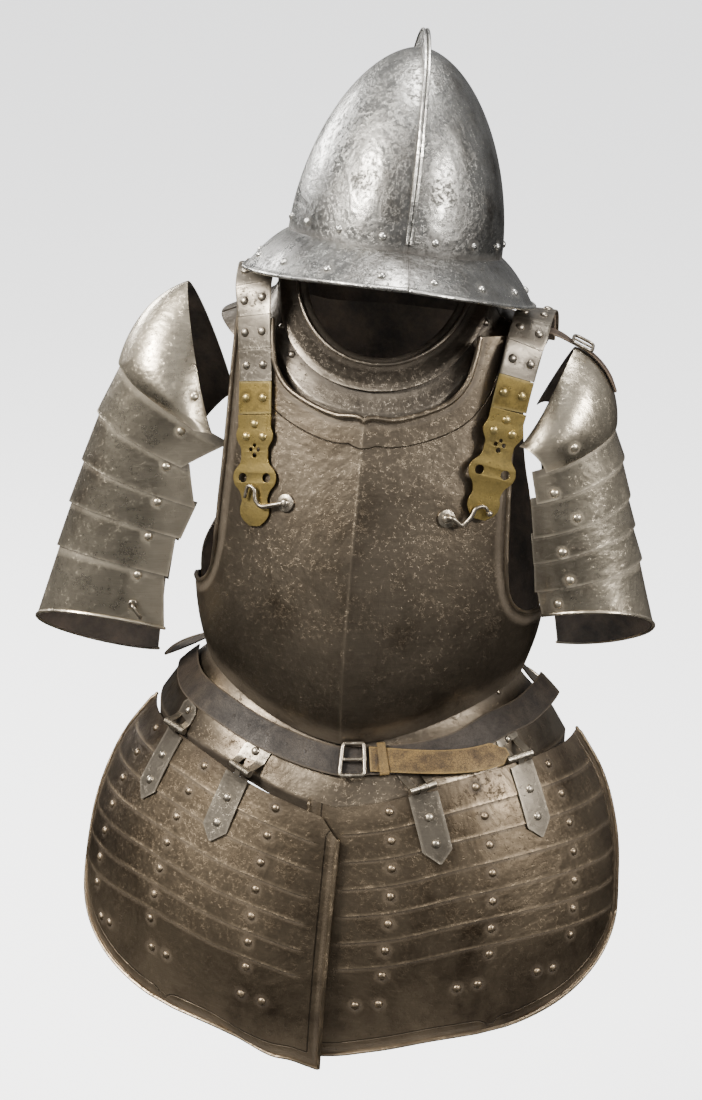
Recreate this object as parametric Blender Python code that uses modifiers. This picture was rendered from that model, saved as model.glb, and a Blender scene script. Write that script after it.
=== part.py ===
# A foot soldier's half armour of plates, worn shape, in metres, +Z up, front to -Y.
# The origin is mid-shoulder, between the two plated straps. The wearer's right is -X.
# Every plate is a sheet whose points come from named tables of rings and edges.
import math
import bmesh
import bpy
import numpy as np
from mathutils import Matrix, Vector

NAME = "plate_armour"

# Sizes in metres
BREAST_WALL = 0.0022
BACK_WALL = 0.0016
TASSET_WALL = 0.0015
FAULD_WALL = 0.0016
HELMET_WALL = 0.0016
LAME_WALL = 0.0013
GORGET_WALL = 0.0013
RIVET_R = 0.0041
RIVET_H = 0.0028
EDGE_ROLL = 0.0042
STEP_PITCH = 0.0259
STEP_RISE = 0.0014
STEPS = 6

# Trunk sections: level, half width, front depth, back depth
TRUNK = [
    (0.02, 0.150, 0.020, 0.060),
    (0.00, 0.155, 0.034, 0.074),
    (-0.03, 0.160, 0.058, 0.088),
    (-0.06, 0.164, 0.076, 0.096),
    (-0.095, 0.167, 0.091, 0.101),
    (-0.128, 0.169, 0.103, 0.104),
    (-0.18, 0.172, 0.123, 0.106),
    (-0.25, 0.176, 0.147, 0.108),
    (-0.32, 0.177, 0.164, 0.104),
    (-0.37, 0.171, 0.171, 0.098),
    (-0.405, 0.161, 0.170, 0.092),
    (-0.435, 0.152, 0.163, 0.088),
    (-0.46, 0.150, 0.160, 0.086)]
# Breastplate edges, top to waist: share of height, half width, level
BREAST_IN = [
    (0.00, 0.097, -0.050), (0.08, 0.094, -0.072), (0.16, 0.089, -0.090),
    (0.24, 0.076, -0.106), (0.32, 0.053, -0.1165), (0.40, 0.027, -0.1225),
    (0.46, 0.0, -0.1245), (0.53, 0.0, -0.170), (0.60, 0.0, -0.225), (0.66, 0.0, -0.278),
    (0.72, 0.0, -0.325), (0.78, 0.0, -0.352), (0.90, 0.0, -0.395), (1.00, 0.0, -0.434)]
BREAST_OUT = [
    (0.00, 0.132, -0.050), (0.16, 0.134, -0.100), (0.32, 0.135, -0.160),
    (0.46, 0.137, -0.215), (0.58, 0.141, -0.272), (0.66, 0.151, -0.308),
    (0.72, 0.168, -0.330)]
# Skirt lame's lower edge: angle from the front, level
FAULD_EDGE = [
    (0.0, -0.4860), (12.0, -0.4785), (25.0, -0.4670), (45.0, -0.4600), (62.0, -0.4625),
    (80.0, -0.4680), (95.0, -0.4690)]
FAULD_W = 0.2080
FAULD_F = 0.1985
# Tasset sections: share of length, half width, front depth, forward shift
TASSET = [
    (0.00, 0.2165, 0.2020, 0.000),
    (0.15, 0.2430, 0.2050, -0.010),
    (0.35, 0.2630, 0.1980, -0.032),
    (0.60, 0.2710, 0.1850, -0.060),
    (0.80, 0.2715, 0.1760, -0.074),
    (1.00, 0.2690, 0.1690, -0.082)]
TASSET_X = 0.004
TASSET_OVER = 0.0084
TASSET_CUT = 0.072
# Top edge of each thigh plate above the skirt lame's edge, by share of its width
TASSET_TOP = {
    -1: [(0.0, -0.0075), (0.06, -0.0062), (0.17, -0.0040), (0.29, -0.0060), (0.44, -0.0050),
         (0.62, -0.0040), (1.0, -0.0040)],
    1: [(0.0, 0.0030), (0.12, 0.0030), (0.25, 0.0030), (0.40, 0.0055), (0.6, 0.0070),
        (1.0, 0.0070)]}
STEP_TOP = 0.0250
# Rivet columns of the right and left thigh plates: share of width, top and bottom
TASSET_COLS = (
    ((0.187, 0.195), (0.452, 0.517), (0.761, 0.798)),
    ((0.220, 0.190), (0.463, 0.455), (0.735, 0.705)))
TASSET_LEN = 0.2480
# Arm rings: half spread, level, tilt in degrees, outward half, fore and aft half, front rise
ARM_RIGHT = [
    (0.1560, -0.1650, 74.0, 0.1340, 0.0640, 0.0000),
    (0.2120, -0.1740, 46.0, 0.0638, 0.0610, 0.0255),
    (0.2250, -0.2135, 34.5, 0.0625, 0.0610, 0.0225),
    (0.2345, -0.2545, 23.0, 0.0620, 0.0610, 0.0225),
    (0.2438, -0.2965, 16.8, 0.0633, 0.0610, 0.0275),
    (0.2534, -0.3418, 13.2, 0.0647, 0.0610, 0.0290),
    (0.2690, -0.4150, 4.0, 0.0680, 0.0620, 0.0440)]
ARM_LEFT = [
    (0.1500, -0.1500, 66.0, 0.0896, 0.0640, 0.0000),
    (0.1755, -0.1740, 27.0, 0.0612, 0.0610, -0.0010),
    (0.1833, -0.2010, 22.5, 0.0612, 0.0610, -0.0010),
    (0.1920, -0.2385, 22.0, 0.0612, 0.0610, 0.0030),
    (0.1992, -0.2685, 22.0, 0.0612, 0.0610, 0.0080),
    (0.2080, -0.3010, 20.0, 0.0612, 0.0610, 0.0110),
    (0.2230, -0.3590, 8.7, 0.0605, 0.0620, 0.0440)]
ARM_Y = -0.004
# How far each arm ring spreads inward in front, and the end angles of each plate's two edges
ARM_SPREAD = {
    -1: (0.006, 0.030, 0.024, 0.024, 0.021, 0.020, 0.024),
    1: (0.014, 0.004, 0.000, 0.000, 0.000, 0.005, 0.012)}
ARM_TOP_END = {-1: (4, 46, 30, 40, 34, 32), 1: (3, 15, 25, 32, 36, 34)}
ARM_LOW_END = {-1: (24, 24, 38, 36, 34, 38), 1: (4, 18, 28, 34, 34, 32)}
# Front rivet of each arm plate by its two shares, and the rear one
ARM_RIVET = {
    -1: ((0.13, 0.12), (0.09, 0.32), (0.07, 0.3), (0.09, 0.3), (0.07, 0.3), (0.07, 0.25)),
    1: ((0.15, 0.78), (0.08, 0.8), (0.18, 0.75), (0.12, 0.78), (0.13, 0.8), (0.06, 0.67))}
ARM_REAR = (0.90, 0.5)
# Strap run over each shoulder from behind: half spread, fore and aft, level
STRAP_RIGHT = [
    (0.128, 0.092, -0.110), (0.128, 0.087, -0.080), (0.128, 0.070, -0.052),
    (0.127, 0.042, -0.033), (0.126, 0.012, -0.020), (0.124, -0.013, -0.016),
    (0.122, -0.034, -0.025), (0.118, -0.049, -0.043), (0.115, -0.060, -0.066),
    (0.111, -0.070, -0.095), (0.108, -0.082, -0.128), (0.103, -0.100, -0.180),
    (0.097, -0.121, -0.244)]
STRAP_LEFT = [
    (0.146, 0.091, -0.118), (0.146, 0.086, -0.090), (0.146, 0.071, -0.066),
    (0.146, 0.043, -0.051), (0.146, 0.012, -0.043), (0.145, -0.013, -0.041),
    (0.144, -0.034, -0.045), (0.141, -0.050, -0.056), (0.138, -0.061, -0.073),
    (0.134, -0.070, -0.095), (0.129, -0.080, -0.128), (0.119, -0.097, -0.180),
    (0.112, -0.110, -0.219)]
STRAP_DIP = (0.10, 0.26)
STRAP_W = 0.037
STRAP_TURN = math.radians(24.0)


def column(table, x, col):
    """Smooth read of one column of a table at x, through its rows."""
    rows = np.asarray(sorted(table, key=lambda r: r[0]), float)
    xs = rows[:, 0]
    y = rows[:, col]
    x = np.clip(np.asarray(x, float), xs[0], xs[-1])
    i = np.clip(np.searchsorted(xs, x, side="right") - 1, 0, len(xs) - 2)
    slope = np.gradient(y, xs)
    h = xs[i + 1] - xs[i]
    u = (x - xs[i]) / h
    a = (2 * u ** 3 - 3 * u ** 2 + 1) * y[i] + (3 * u ** 2 - 2 * u ** 3) * y[i + 1]
    b = (u ** 3 - 2 * u ** 2 + u) * slope[i] + (u ** 3 - u ** 2) * slope[i + 1]
    return a + b * h


def ease(t):
    """Smooth step from 0 to 1."""
    t = np.clip(t, 0.0, 1.0)
    return t * t * (3.0 - 2.0 * t)


def trunk(phi, z, inset=0.0):
    """Point of the trunk at angle phi from the front, level z, moved in by inset."""
    w = column(TRUNK, z, 1) - inset
    f = column(TRUNK, z, 2) - inset
    b = column(TRUNK, z, 3) - inset
    s, c = np.sin(phi), np.cos(phi)
    keel = 0.008 * (1.0 - np.abs(s)) ** 3 * (c > 0)
    y = np.where(c >= 0, -(f * c + keel), -b * c)
    return np.stack([w * s, y, z + 0 * s], -1)


def waist(phi):
    """Level of the breastplate's lower edge at angle phi."""
    return -0.434 + 0.032 * ease(np.abs(phi) / math.radians(65.0))


def breast_point(s, t, inset=0.0):
    """Half of the breastplate: s from the centre line out, t from the top down."""
    zi = column(BREAST_IN, t, 2)
    xi = column(BREAST_IN, t, 1)
    zo = column(BREAST_OUT, t, 2)
    xo = column(BREAST_OUT, t, 1)
    pi_ = np.arcsin(np.clip(xi / column(TRUNK, zi, 1), 0, 1))
    pi_ = np.where(t >= 0.46, 0.0, pi_)
    po = np.arcsin(np.clip(xo / column(TRUNK, zo, 1), 0, 1))
    side = math.radians(92.0)
    k = ease((t - 0.70) / 0.07)
    po = po * (1 - k) + side * k
    zs = -0.330 + (-0.402 + 0.330) * np.clip((t - 0.72) / 0.28, 0, 1)
    zo = np.where(t > 0.72, zs, zo)
    phi = pi_ + (po - pi_) * s
    z = zi + (zo - zi) * s
    fit = np.clip((t - 0.6) / 0.4, 0, 1) ** 2
    z = z + fit * (waist(phi) - (waist(0.0) + (waist(side) - waist(0.0)) * s))
    length = np.hypot(0.165 * (po - pi_), zo - zi)
    neck = np.clip(1 - s * length / 0.006, 0, 1) * np.clip((0.467 - t) / 0.007, 0, 1)
    arm = np.clip(1 - (1 - s) * length / 0.006, 0, 1) * np.clip((0.63 - t) / 0.08, 0, 1)
    return trunk(phi, z, inset - EDGE_ROLL * (neck + arm))


def fauld_edge(phi):
    """Level of the skirt lame's lower edge."""
    return column(FAULD_EDGE, np.degrees(np.abs(phi)), 1)


def fauld_point(phi, t, lift=0.0):
    """Skirt lame: t 0 tucked under the breastplate, 1 at its bend, beyond it behind the thigh plates."""
    zt = waist(phi) + 0.012
    zb = fauld_edge(phi)
    z = zt + (zb - zt) * t
    g = ease((t - 0.22) / 0.50) * 0.25 + 0.75 * np.clip((t - 0.22) / 0.78, 0, 1)
    zc = np.maximum(z, waist(phi) - 0.004)
    wt = column(TRUNK, zc, 1) - 0.0044
    ft = column(TRUNK, zc, 2) - 0.0044
    w = wt + (FAULD_W - wt) * g + lift
    f = ft + (FAULD_F - ft) * g + lift
    s, c = np.sin(phi), np.cos(phi)
    keel = 0.008 * (1.0 - np.abs(s)) ** 3
    return np.stack([w * s, -(f * c + keel), z], -1)


def back_point(side, s, t):
    """Half of the backplate on one side: s from the spine out, t from the top down to the flange."""
    z_mid = column([(0, 0, -0.046), (0.3, 0, -0.15), (0.6, 0, -0.28), (0.86, 0, -0.405),
                    (1, 0, -0.452)], t, 2)
    z_out = column([(0, 0, -0.058), (0.3, 0, -0.15), (0.6, 0, -0.318), (0.86, 0, -0.400),
                    (1, 0, -0.440)], t, 2)
    a_out = column([(0, 52.0), (0.15, 53.0), (0.3, 53.0), (0.45, 57.0), (0.54, 68.0),
                    (0.6, 90.0), (0.64, 93.5), (0.72, 93.5), (0.78, 88.5), (1, 87.0)], t, 1)
    a = np.radians(a_out) * s
    z = z_mid + (z_out - z_mid) * ease(s)
    reach = 0.058 if side < 0 else 0.058 - 0.024 * ease(s)
    flare = reach * np.clip((t - 0.885) / 0.115, 0, 1) ** 1.1
    tuck = 0.0042 * ease((np.degrees(a) - 60) / 20) * np.clip((1.0 - t) / 0.1, 0, 1)
    p = trunk(math.pi - a, z, 0.0)
    w = column(TRUNK, z, 1) - tuck + flare
    b = column(TRUNK, z, 3) + flare
    f = column(TRUNK, z, 2) - tuck
    y = np.where(np.cos(a) >= 0, b * np.cos(a), f * np.cos(a))
    return np.stack([side * w * np.sin(a), y, p[..., 2]], -1)


def tasset_point(side, u, h, lift=0.0):
    """Thigh plate: u from the middle of the body outward, h from its hinge edge down."""
    over = 1.0 if side < 0 else 0.0
    h = h + over * TASSET_CUT * np.clip((0.055 - u) / 0.055, 0, 1) * np.clip(1 - h / 0.12, 0, 1)
    inner = -0.006 + 0.004 * h if side < 0 else -0.026 - 0.002 * h
    w = column(TASSET, h, 1)
    f = column(TASSET, h, 2)
    y0 = column(TASSET, h, 3)
    c = np.clip((h - 0.66) / 0.34, 0, 1)
    x_end = w * math.sin(math.radians(84.0)) - 0.118 * (1 - np.sqrt(np.clip(1 - c ** 2, 0, 1)))
    a_in = np.arcsin(inner / w)
    a_end = np.arcsin(x_end / w)
    a = a_in + (a_end - a_in) * u
    plain = 0.055 if side < 0 else 0.085
    fade = 0.030 if side < 0 else 0.015
    band = np.clip((u - plain) / fade, 0, 1) * np.clip((0.965 - u) / 0.03, 0, 1)
    d = (h * TASSET_LEN - STEP_TOP) / STEP_PITCH + 1.0
    rise = np.where(d < STEPS - 1e-6, np.mod(d, 1.0), 0.0) * STEP_RISE * band
    edge = np.maximum(np.clip(1 - u / 0.02, 0, 1), np.clip((u - 0.98) / 0.02, 0, 1))
    edge = np.maximum(edge, np.clip((h - 0.98) / 0.02, 0, 1))
    out = lift + rise + 0.0016 * edge * (h > 0.01) + over * TASSET_OVER * ease((0.55 - u) / 0.35)
    sn, cs = np.sin(a), np.cos(a)
    z = fauld_edge(a) + column(TASSET_TOP[side], u, 1) - TASSET_LEN * h
    keel = 0.008 * (1.0 - np.abs(sn)) ** 3 * (1 - h)
    return np.stack([TASSET_X + side * (w + out) * sn, y0 - (f + out) * cs - keel, z], -1)


def arm_ring(side, k, al, lift=0.0):
    """Point of arm ring k at angle al: 0 to the front, 90 degrees outward."""
    rows = ARM_RIGHT if side < 0 else ARM_LEFT
    spread = ARM_SPREAD[side][k] * np.clip((30.0 - np.degrees(al)) / 64.0, 0, 1.6) ** 1.5
    spread = spread * (np.degrees(al) < 90.0)
    cx, cz, tilt, a, b, rise = rows[k]
    tilt = math.radians(tilt)
    sn, cs = np.sin(al), np.cos(al)
    if k == 0:
        sn = np.sign(sn) * np.abs(sn) ** 1.35
        cs = np.sign(cs) * np.abs(cs) ** 1.35
    x = cx + (a + lift) * sn * math.cos(tilt) - spread
    y = ARM_Y - (b + lift) * cs
    z = cz + (a + lift) * sn * math.sin(tilt) + rise * cs
    return np.stack([x, y, z], -1)


def lame_point(side, k, u, v, lift=0.0):
    """Arm plate k (0 at the shoulder): u front to back, v from its upper to lower edge."""
    rows = ARM_RIGHT if side < 0 else ARM_LEFT
    ra = math.radians(ARM_TOP_END[side][k])
    rb = math.radians(ARM_LOW_END[side][k])
    r = ra + (rb - ra) * v
    al = -r + (math.pi + 2 * r) * u
    t0 = -0.16 if k > 0 else 0.0
    t = t0 + (1 - t0) * v
    low = 0.0035
    p0 = arm_ring(side, k, al, 0.0)
    p1 = arm_ring(side, k + 1, al, 0.0)
    p = p0 + (p1 - p0) * t[..., None] if isinstance(t, np.ndarray) else p0 + (p1 - p0) * t
    c = np.array([0.5 * (rows[k][0] + rows[k + 1][0]), ARM_Y, 0.5 * (rows[k][1] + rows[k + 1][1])])
    swell = low * np.clip(v, 0, 1) + lift
    if k == 0:
        swell = swell + 0.016 * np.sin(math.pi * np.clip(v, 0, 1)) ** 0.9
        c = c + np.array([-0.02, 0.0, -0.04])
    n = p - c
    n = n / np.linalg.norm(n, axis=-1, keepdims=True)
    if k > 0:
        axis = np.array([rows[k + 1][0] - rows[k][0], 0.0, rows[k + 1][1] - rows[k][1]])
        axis = axis / np.linalg.norm(axis)
        n = n - (n @ axis)[..., None] * axis
        n = n / np.linalg.norm(n, axis=-1, keepdims=True)
    p = p + n * swell[..., None]
    return p * np.array([side, 1.0, 1.0])


# Helmet sizes: skull half width, half length, height, and how it sits
SKULL_W = 0.1014
SKULL_L = 0.1198
SKULL_H = 0.1832
SKULL_N = 1.80
COMB_H = 0.0150
HEAD_AT = (0.0111, -0.0355, 0.0290)
HEAD_YAW = math.radians(11.4)
HEAD_PITCH = math.radians(-11.1)
HEAD_ROLL = math.radians(6.0)
# Brim by angle from the front: reach outward, drop
BRIM = [
    (0.0, 0.050, 0.031), (25.0, 0.046, 0.034), (50.0, 0.040, 0.039), (75.0, 0.037, 0.042),
    (90.0, 0.037, 0.043), (110.0, 0.038, 0.042), (135.0, 0.042, 0.036), (160.0, 0.047, 0.030),
    (180.0, 0.049, 0.029)]


def head_turn():
    """Matrix that sets the helmet on the shoulders."""
    m = Matrix.Translation(Vector(HEAD_AT)) @ Matrix.Rotation(HEAD_YAW, 4, "Z")
    return m @ Matrix.Rotation(HEAD_ROLL, 4, "Y") @ Matrix.Rotation(HEAD_PITCH, 4, "X")


def skull_point(side, az, v, lift=0.0):
    """Skull of the helmet, az 0 at the front to pi behind, v 0 at the rim to 1 at the top."""
    e = v * math.pi / 2
    c = np.clip(np.cos(e), 0, 1) ** (2.0 / SKULL_N)
    q = np.clip(np.sin(e), 0, 1) ** (2.0 / SKULL_N)
    x = (SKULL_W + lift) * c * np.sin(az)
    y = -(SKULL_L + lift) * c * np.cos(az)
    z = (SKULL_H + lift) * q
    return np.stack([side * x, y, z], -1)


def brim_point(side, az, v):
    """Brim, v 0 at the crease of the skull to 1 at its outer edge."""
    reach = column(BRIM, np.degrees(az), 1)
    drop = column(BRIM, np.degrees(az), 2)
    hx, hy = np.sin(az), -np.cos(az)
    x = SKULL_W * np.sin(az) + reach * v * hx
    y = -SKULL_L * np.cos(az) + reach * v * hy
    z = -drop * (0.55 * v + 0.45 * v * v) + 0.002 * np.clip((v - 0.9) / 0.1, 0, 1)
    return np.stack([side * x, y, z], -1)


def helmet_point(side, u, w):
    """Half helmet as one sheet: w 0..1 is the skull from the top, 1..2 the brim."""
    az = math.pi * u
    if w <= 1.0:
        p = skull_point(side, az, 1.0 - w)
    else:
        p = brim_point(side, az, w - 1.0)
    return p


# Gorget rings by angle from the front: half spread, fore and aft, level
def gorget_ring(k, az):
    """Ring k of the neck plates: 0 inner turn, 1 rim, 2 roll, 3 neckline, 4 hidden edge."""
    rows = GORGET[k]
    d = np.degrees(np.abs(az))
    x = column(rows, d, 1) * np.sign(az + 1e-9)
    y = column(rows, d, 2)
    z = column(rows, d, 3)
    return np.stack([x, y, z], -1)


# Neck ring tables: angle, half spread, fore and aft, level
def ring_rows(rx, ryf, ryb, zf, rise, zb):
    """Rows of an oval ring that climbs from the front to the sides and eases behind."""
    rows = []
    for d in range(0, 181, 15):
        a = math.radians(d)
        c = math.cos(a)
        y = -ryf * c if c >= 0 else -ryb * c
        z = zf + rise * (1 - c) if c >= 0 else zf + rise + (zb - zf - rise) * -c
        rows.append((float(d), rx * math.sin(a), y, z))
    return rows


GORGET = [
    ring_rows(0.076, 0.057, 0.060, -0.080, 0.072, -0.002),
    ring_rows(0.085, 0.065, 0.068, -0.087, 0.075, -0.004),
    ring_rows(0.100, 0.082, 0.082, -0.101, 0.083, -0.014),
    [(0.0, 0.0, -0.0975, -0.122), (15.0, 0.027, -0.0955, -0.120), (30.0, 0.055, -0.0885, -0.114),
     (45.0, 0.077, -0.0735, -0.100), (60.0, 0.094, -0.054, -0.078), (75.0, 0.106, -0.028, -0.057),
     (90.0, 0.112, 0.0, -0.045), (105.0, 0.111, 0.026, -0.042), (120.0, 0.103, 0.050, -0.042),
     (135.0, 0.085, 0.068, -0.043), (150.0, 0.060, 0.079, -0.044), (165.0, 0.031, 0.085, -0.045),
     (180.0, 0.0, 0.087, -0.045)],
    [(0.0, 0.0, -0.1065, -0.146), (15.0, 0.033, -0.1035, -0.143), (30.0, 0.066, -0.0925, -0.135),
     (45.0, 0.091, -0.0735, -0.116), (60.0, 0.118, -0.050, -0.090), (75.0, 0.146, -0.028, -0.075),
     (90.0, 0.160, 0.0, -0.066), (105.0, 0.153, 0.028, -0.064), (120.0, 0.128, 0.052, -0.065),
     (135.0, 0.092, 0.065, -0.060), (150.0, 0.064, 0.074, -0.066), (165.0, 0.033, 0.083, -0.068),
     (180.0, 0.0, 0.086, -0.068)]]


def purge():
    """Empty the scene before anything is built."""
    for ob in list(bpy.data.objects):
        bpy.data.objects.remove(ob, do_unlink=True)
    for coll in list(bpy.data.collections):
        bpy.data.collections.remove(coll)


def make_material(name, colour, metallic, roughness):
    """One Principled material for a named surface."""
    mat = bpy.data.materials.new(name)
    mat.use_nodes = True
    bsdf = next(n for n in mat.node_tree.nodes if n.type == "BSDF_PRINCIPLED")
    bsdf.inputs["Base Color"].default_value = (*colour, 1.0)
    bsdf.inputs["Metallic"].default_value = metallic
    bsdf.inputs["Roughness"].default_value = roughness
    return mat


LOOKS = {
    "steel": ((0.42, 0.41, 0.39), 0.9, 0.35),
    "brass": ((0.45, 0.35, 0.16), 0.8, 0.45),
    "leather": ((0.07, 0.05, 0.035), 0.0, 0.75),
    "buff": ((0.42, 0.30, 0.13), 0.0, 0.7)}


def link(mesh, name, look, coll):
    """Put a mesh into a collection as a named object with its own material."""
    ob = bpy.data.objects.new(name, mesh)
    colour, metallic, roughness = LOOKS[look]
    mesh.materials.clear()
    mesh.materials.append(make_material(name, colour, metallic, roughness))
    coll.objects.link(ob)
    return ob


def sheet(name, points, inside, look="steel", drop=(), split=True):
    """Grid of points (rows by columns) as an open sheet that faces away from inside."""
    rows, cols = points.shape[:2]
    bm = bmesh.new()
    bmesh.ops.create_grid(bm, x_segments=rows - 1, y_segments=cols - 1, size=0.5)
    gone = []
    for f in bm.faces:
        c = f.calc_center_median()
        cell = (int((c.x + 0.5) * (rows - 1)), int((c.y + 0.5) * (cols - 1)))
        if cell in drop:
            gone.append(f)
    bmesh.ops.delete(bm, geom=gone, context="FACES")
    for v in bm.verts:
        i = int(round((v.co.x + 0.5) * (rows - 1)))
        j = int(round((v.co.y + 0.5) * (cols - 1)))
        v.co = Vector(points[i, j])
    bmesh.ops.remove_doubles(bm, verts=bm.verts, dist=0.00002)
    if split:
        bmesh.ops.triangulate(bm, faces=bm.faces)
    facing = 0.0
    for f in bm.faces:
        f.normal_update()
        facing += f.normal.dot(f.calc_center_median() - Vector(inside)) * f.calc_area()
    if facing < 0:
        bmesh.ops.reverse_faces(bm, faces=bm.faces)
    mesh = bpy.data.meshes.new(name)
    bm.to_mesh(mesh)
    bm.free()
    return link(mesh, name, look, MAIN)


def thicken(ob, wall):
    """Give a sheet its wall, inward."""
    mod = ob.modifiers.new("wall", "SOLIDIFY")
    mod.thickness = wall
    mod.offset = -1.0
    mod.use_even_offset = True
    mod.use_quality_normals = True


def cutter(name, bm):
    """Keep a helper mesh hidden in the second collection."""
    mesh = bpy.data.meshes.new(name)
    bm.to_mesh(mesh)
    bm.free()
    ob = bpy.data.objects.new(name, mesh)
    HELPERS.objects.link(ob)
    ob.hide_render = True
    ob.display_type = "WIRE"
    return ob


def join_on(ob, tool, how="UNION"):
    """Exact Boolean of a helper with a part."""
    mod = ob.modifiers.new("join", "BOOLEAN")
    mod.operation = how
    mod.solver = "EXACT"
    mod.object = tool


def stud(bm, at, normal, radius=RIVET_R, height=RIVET_H, sides=5, sink=0.0011, taper=0.55):
    """One rivet head standing on a surface."""
    n = Vector(normal).normalized()
    turn = n.to_track_quat("Z", "Y").to_matrix().to_4x4()
    mid = Vector(at) + n * ((height - sink) / 2)
    bmesh.ops.create_cone(
        bm, cap_ends=True, cap_tris=False, segments=sides, radius1=radius,
        radius2=radius * taper, depth=height + sink, matrix=Matrix.Translation(mid) @ turn)


def surface_spot(fn, u, v, inside):
    """Point and outward direction of a surface function at u, v."""
    e = 0.004
    p = fn(u, v)
    du = fn(u + e, v) - fn(u - e, v)
    dv = fn(u, v + e) - fn(u, v - e)
    n = np.cross(du, dv)
    n = n / np.linalg.norm(n)
    if np.dot(n, p - np.asarray(inside)) < 0:
        n = -n
    return p, n


def rivets_on(ob, fn, spots, inside, radius=RIVET_R, height=RIVET_H, turn=None):
    """Union a set of rivet heads onto a plate at the given u, v spots."""
    bm = bmesh.new()
    for u, v in spots:
        p, n = surface_spot(fn, u, v, inside)
        if turn is not None:
            p = turn @ Vector(p)
            n = turn.to_3x3() @ Vector(n)
        stud(bm, p, n, radius, height)
    join_on(ob, cutter(ob.name + "_rivets", bm))


def grid_of(fn, us, vs):
    """Array of points of fn over two lists of parameters."""
    out = np.zeros((len(us), len(vs), 3))
    for i, u in enumerate(us):
        for j, v in enumerate(vs):
            out[i, j] = fn(float(u), float(v))
    return out


def scalar(fn):
    """Wrap an array function so that it takes plain numbers."""
    def read(*args):
        return np.asarray(fn(*[np.float64(a) for a in args]), float).reshape(3)
    return read


def facet(points, us, vs):
    """Read a grid of points along straight lines between its neighbours, as its faces do."""
    def read(u, v):
        i = int(np.clip(np.searchsorted(us, u, side="right") - 1, 0, len(us) - 2))
        j = int(np.clip(np.searchsorted(vs, v, side="right") - 1, 0, len(vs) - 2))
        a = (u - us[i]) / (us[i + 1] - us[i])
        b = (v - vs[j]) / (vs[j + 1] - vs[j])
        near = points[i, j] * (1 - a) + points[i + 1, j] * a
        far = points[i, j + 1] * (1 - a) + points[i + 1, j + 1] * a
        return near * (1 - b) + far * b
    return read


def build_breast():
    """Breastplate: one sheet from the left arm edge over the ridge to the right."""
    ts = [0, .08, .16, .24, .32, .40, .46, .56, .66, .71, .745, .78, .88, 1.0]
    half = []
    for t in ts:
        a = scalar(breast_point)(0.0, t)
        b = scalar(breast_point)(1.0, t)
        rim = 0.0062 / (np.linalg.norm(a - b) * 1.1)
        half.append([scalar(breast_point)(s, t) for s in (0, rim, .15, .29, .43, .57, .70, .82, 1 - rim, 1)])
    half = np.array(half)
    mirror = half[:, ::-1] * np.array([-1.0, 1.0, 1.0])
    split = ts.index(.46)
    low = np.concatenate([mirror[split:], half[split:, 1:]], axis=1)
    ob = sheet("breastplate", low, (0, 0, -0.25))
    bm = bmesh.new()
    bm.from_mesh(ob.data)
    for pts in (half[:split + 1], mirror[:split + 1]):
        rows, cols = pts.shape[:2]
        new = bmesh.new()
        bmesh.ops.create_grid(new, x_segments=rows - 1, y_segments=cols - 1, size=0.5)
        for v in new.verts:
            i = int(round((v.co.x + 0.5) * (rows - 1)))
            j = int(round((v.co.y + 0.5) * (cols - 1)))
            v.co = Vector(pts[i, j])
        piece = bpy.data.meshes.new("wing")
        new.to_mesh(piece)
        new.free()
        bm.from_mesh(piece)
        bpy.data.meshes.remove(piece)
    bmesh.ops.remove_doubles(bm, verts=bm.verts, dist=0.00005)
    bmesh.ops.triangulate(bm, faces=bm.faces)
    bmesh.ops.recalc_face_normals(bm, faces=bm.faces)
    facing = sum(f.normal.dot(f.calc_center_median() - Vector((0, 0, -0.25))) for f in bm.faces)
    if facing < 0:
        bmesh.ops.reverse_faces(bm, faces=bm.faces)
    bm.to_mesh(ob.data)
    bm.free()
    thicken(ob, BREAST_WALL)
    return ob


def build_back():
    """Backplate with its waist flange."""
    ts = [0, .1, .22, .34, .45, .53, .6, .65, .73, .80, .885, .94, 1.0]
    ss = [0, .25, .5, .74, .9, 1.0]
    right = np.array([[scalar(back_point)(-1, s, t) for s in ss] for t in ts])
    left = np.array([[scalar(back_point)(1, s, t) for s in ss] for t in ts])
    pts = np.concatenate([right[:, ::-1], left[:, 1:]], axis=1)
    ob = sheet("backplate", pts, (0, -0.02, -0.25))
    thicken(ob, BACK_WALL)
    return ob


def build_fauld():
    """Skirt lame in front, below the breastplate."""
    phis = np.radians(np.linspace(-87.0, 87.0, 19))
    ts = [0, .20, .28, .42, .6, .8, 1.0, 1.2]
    fn = scalar(fauld_point)
    ob = sheet("fauld", grid_of(fn, phis, ts), (0, 0, -0.40))
    thicken(ob, FAULD_WALL)
    rivets_on(ob, fn, [(math.radians(64.0), 0.235)], (0, 0, -0.40), 0.0031, 0.0024)
    return ob


def tasset_rows():
    """Shares of length at which the thigh plate has a row of points."""
    hs = [0.0]
    for k in range(1, STEPS + 1):
        at = (STEP_TOP + (k - 1) * STEP_PITCH) / TASSET_LEN
        hs += [at - 0.0016, at + 0.0016]
    return hs + [0.70, 0.78, 0.86, 0.93, 0.978, 1.0]


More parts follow.
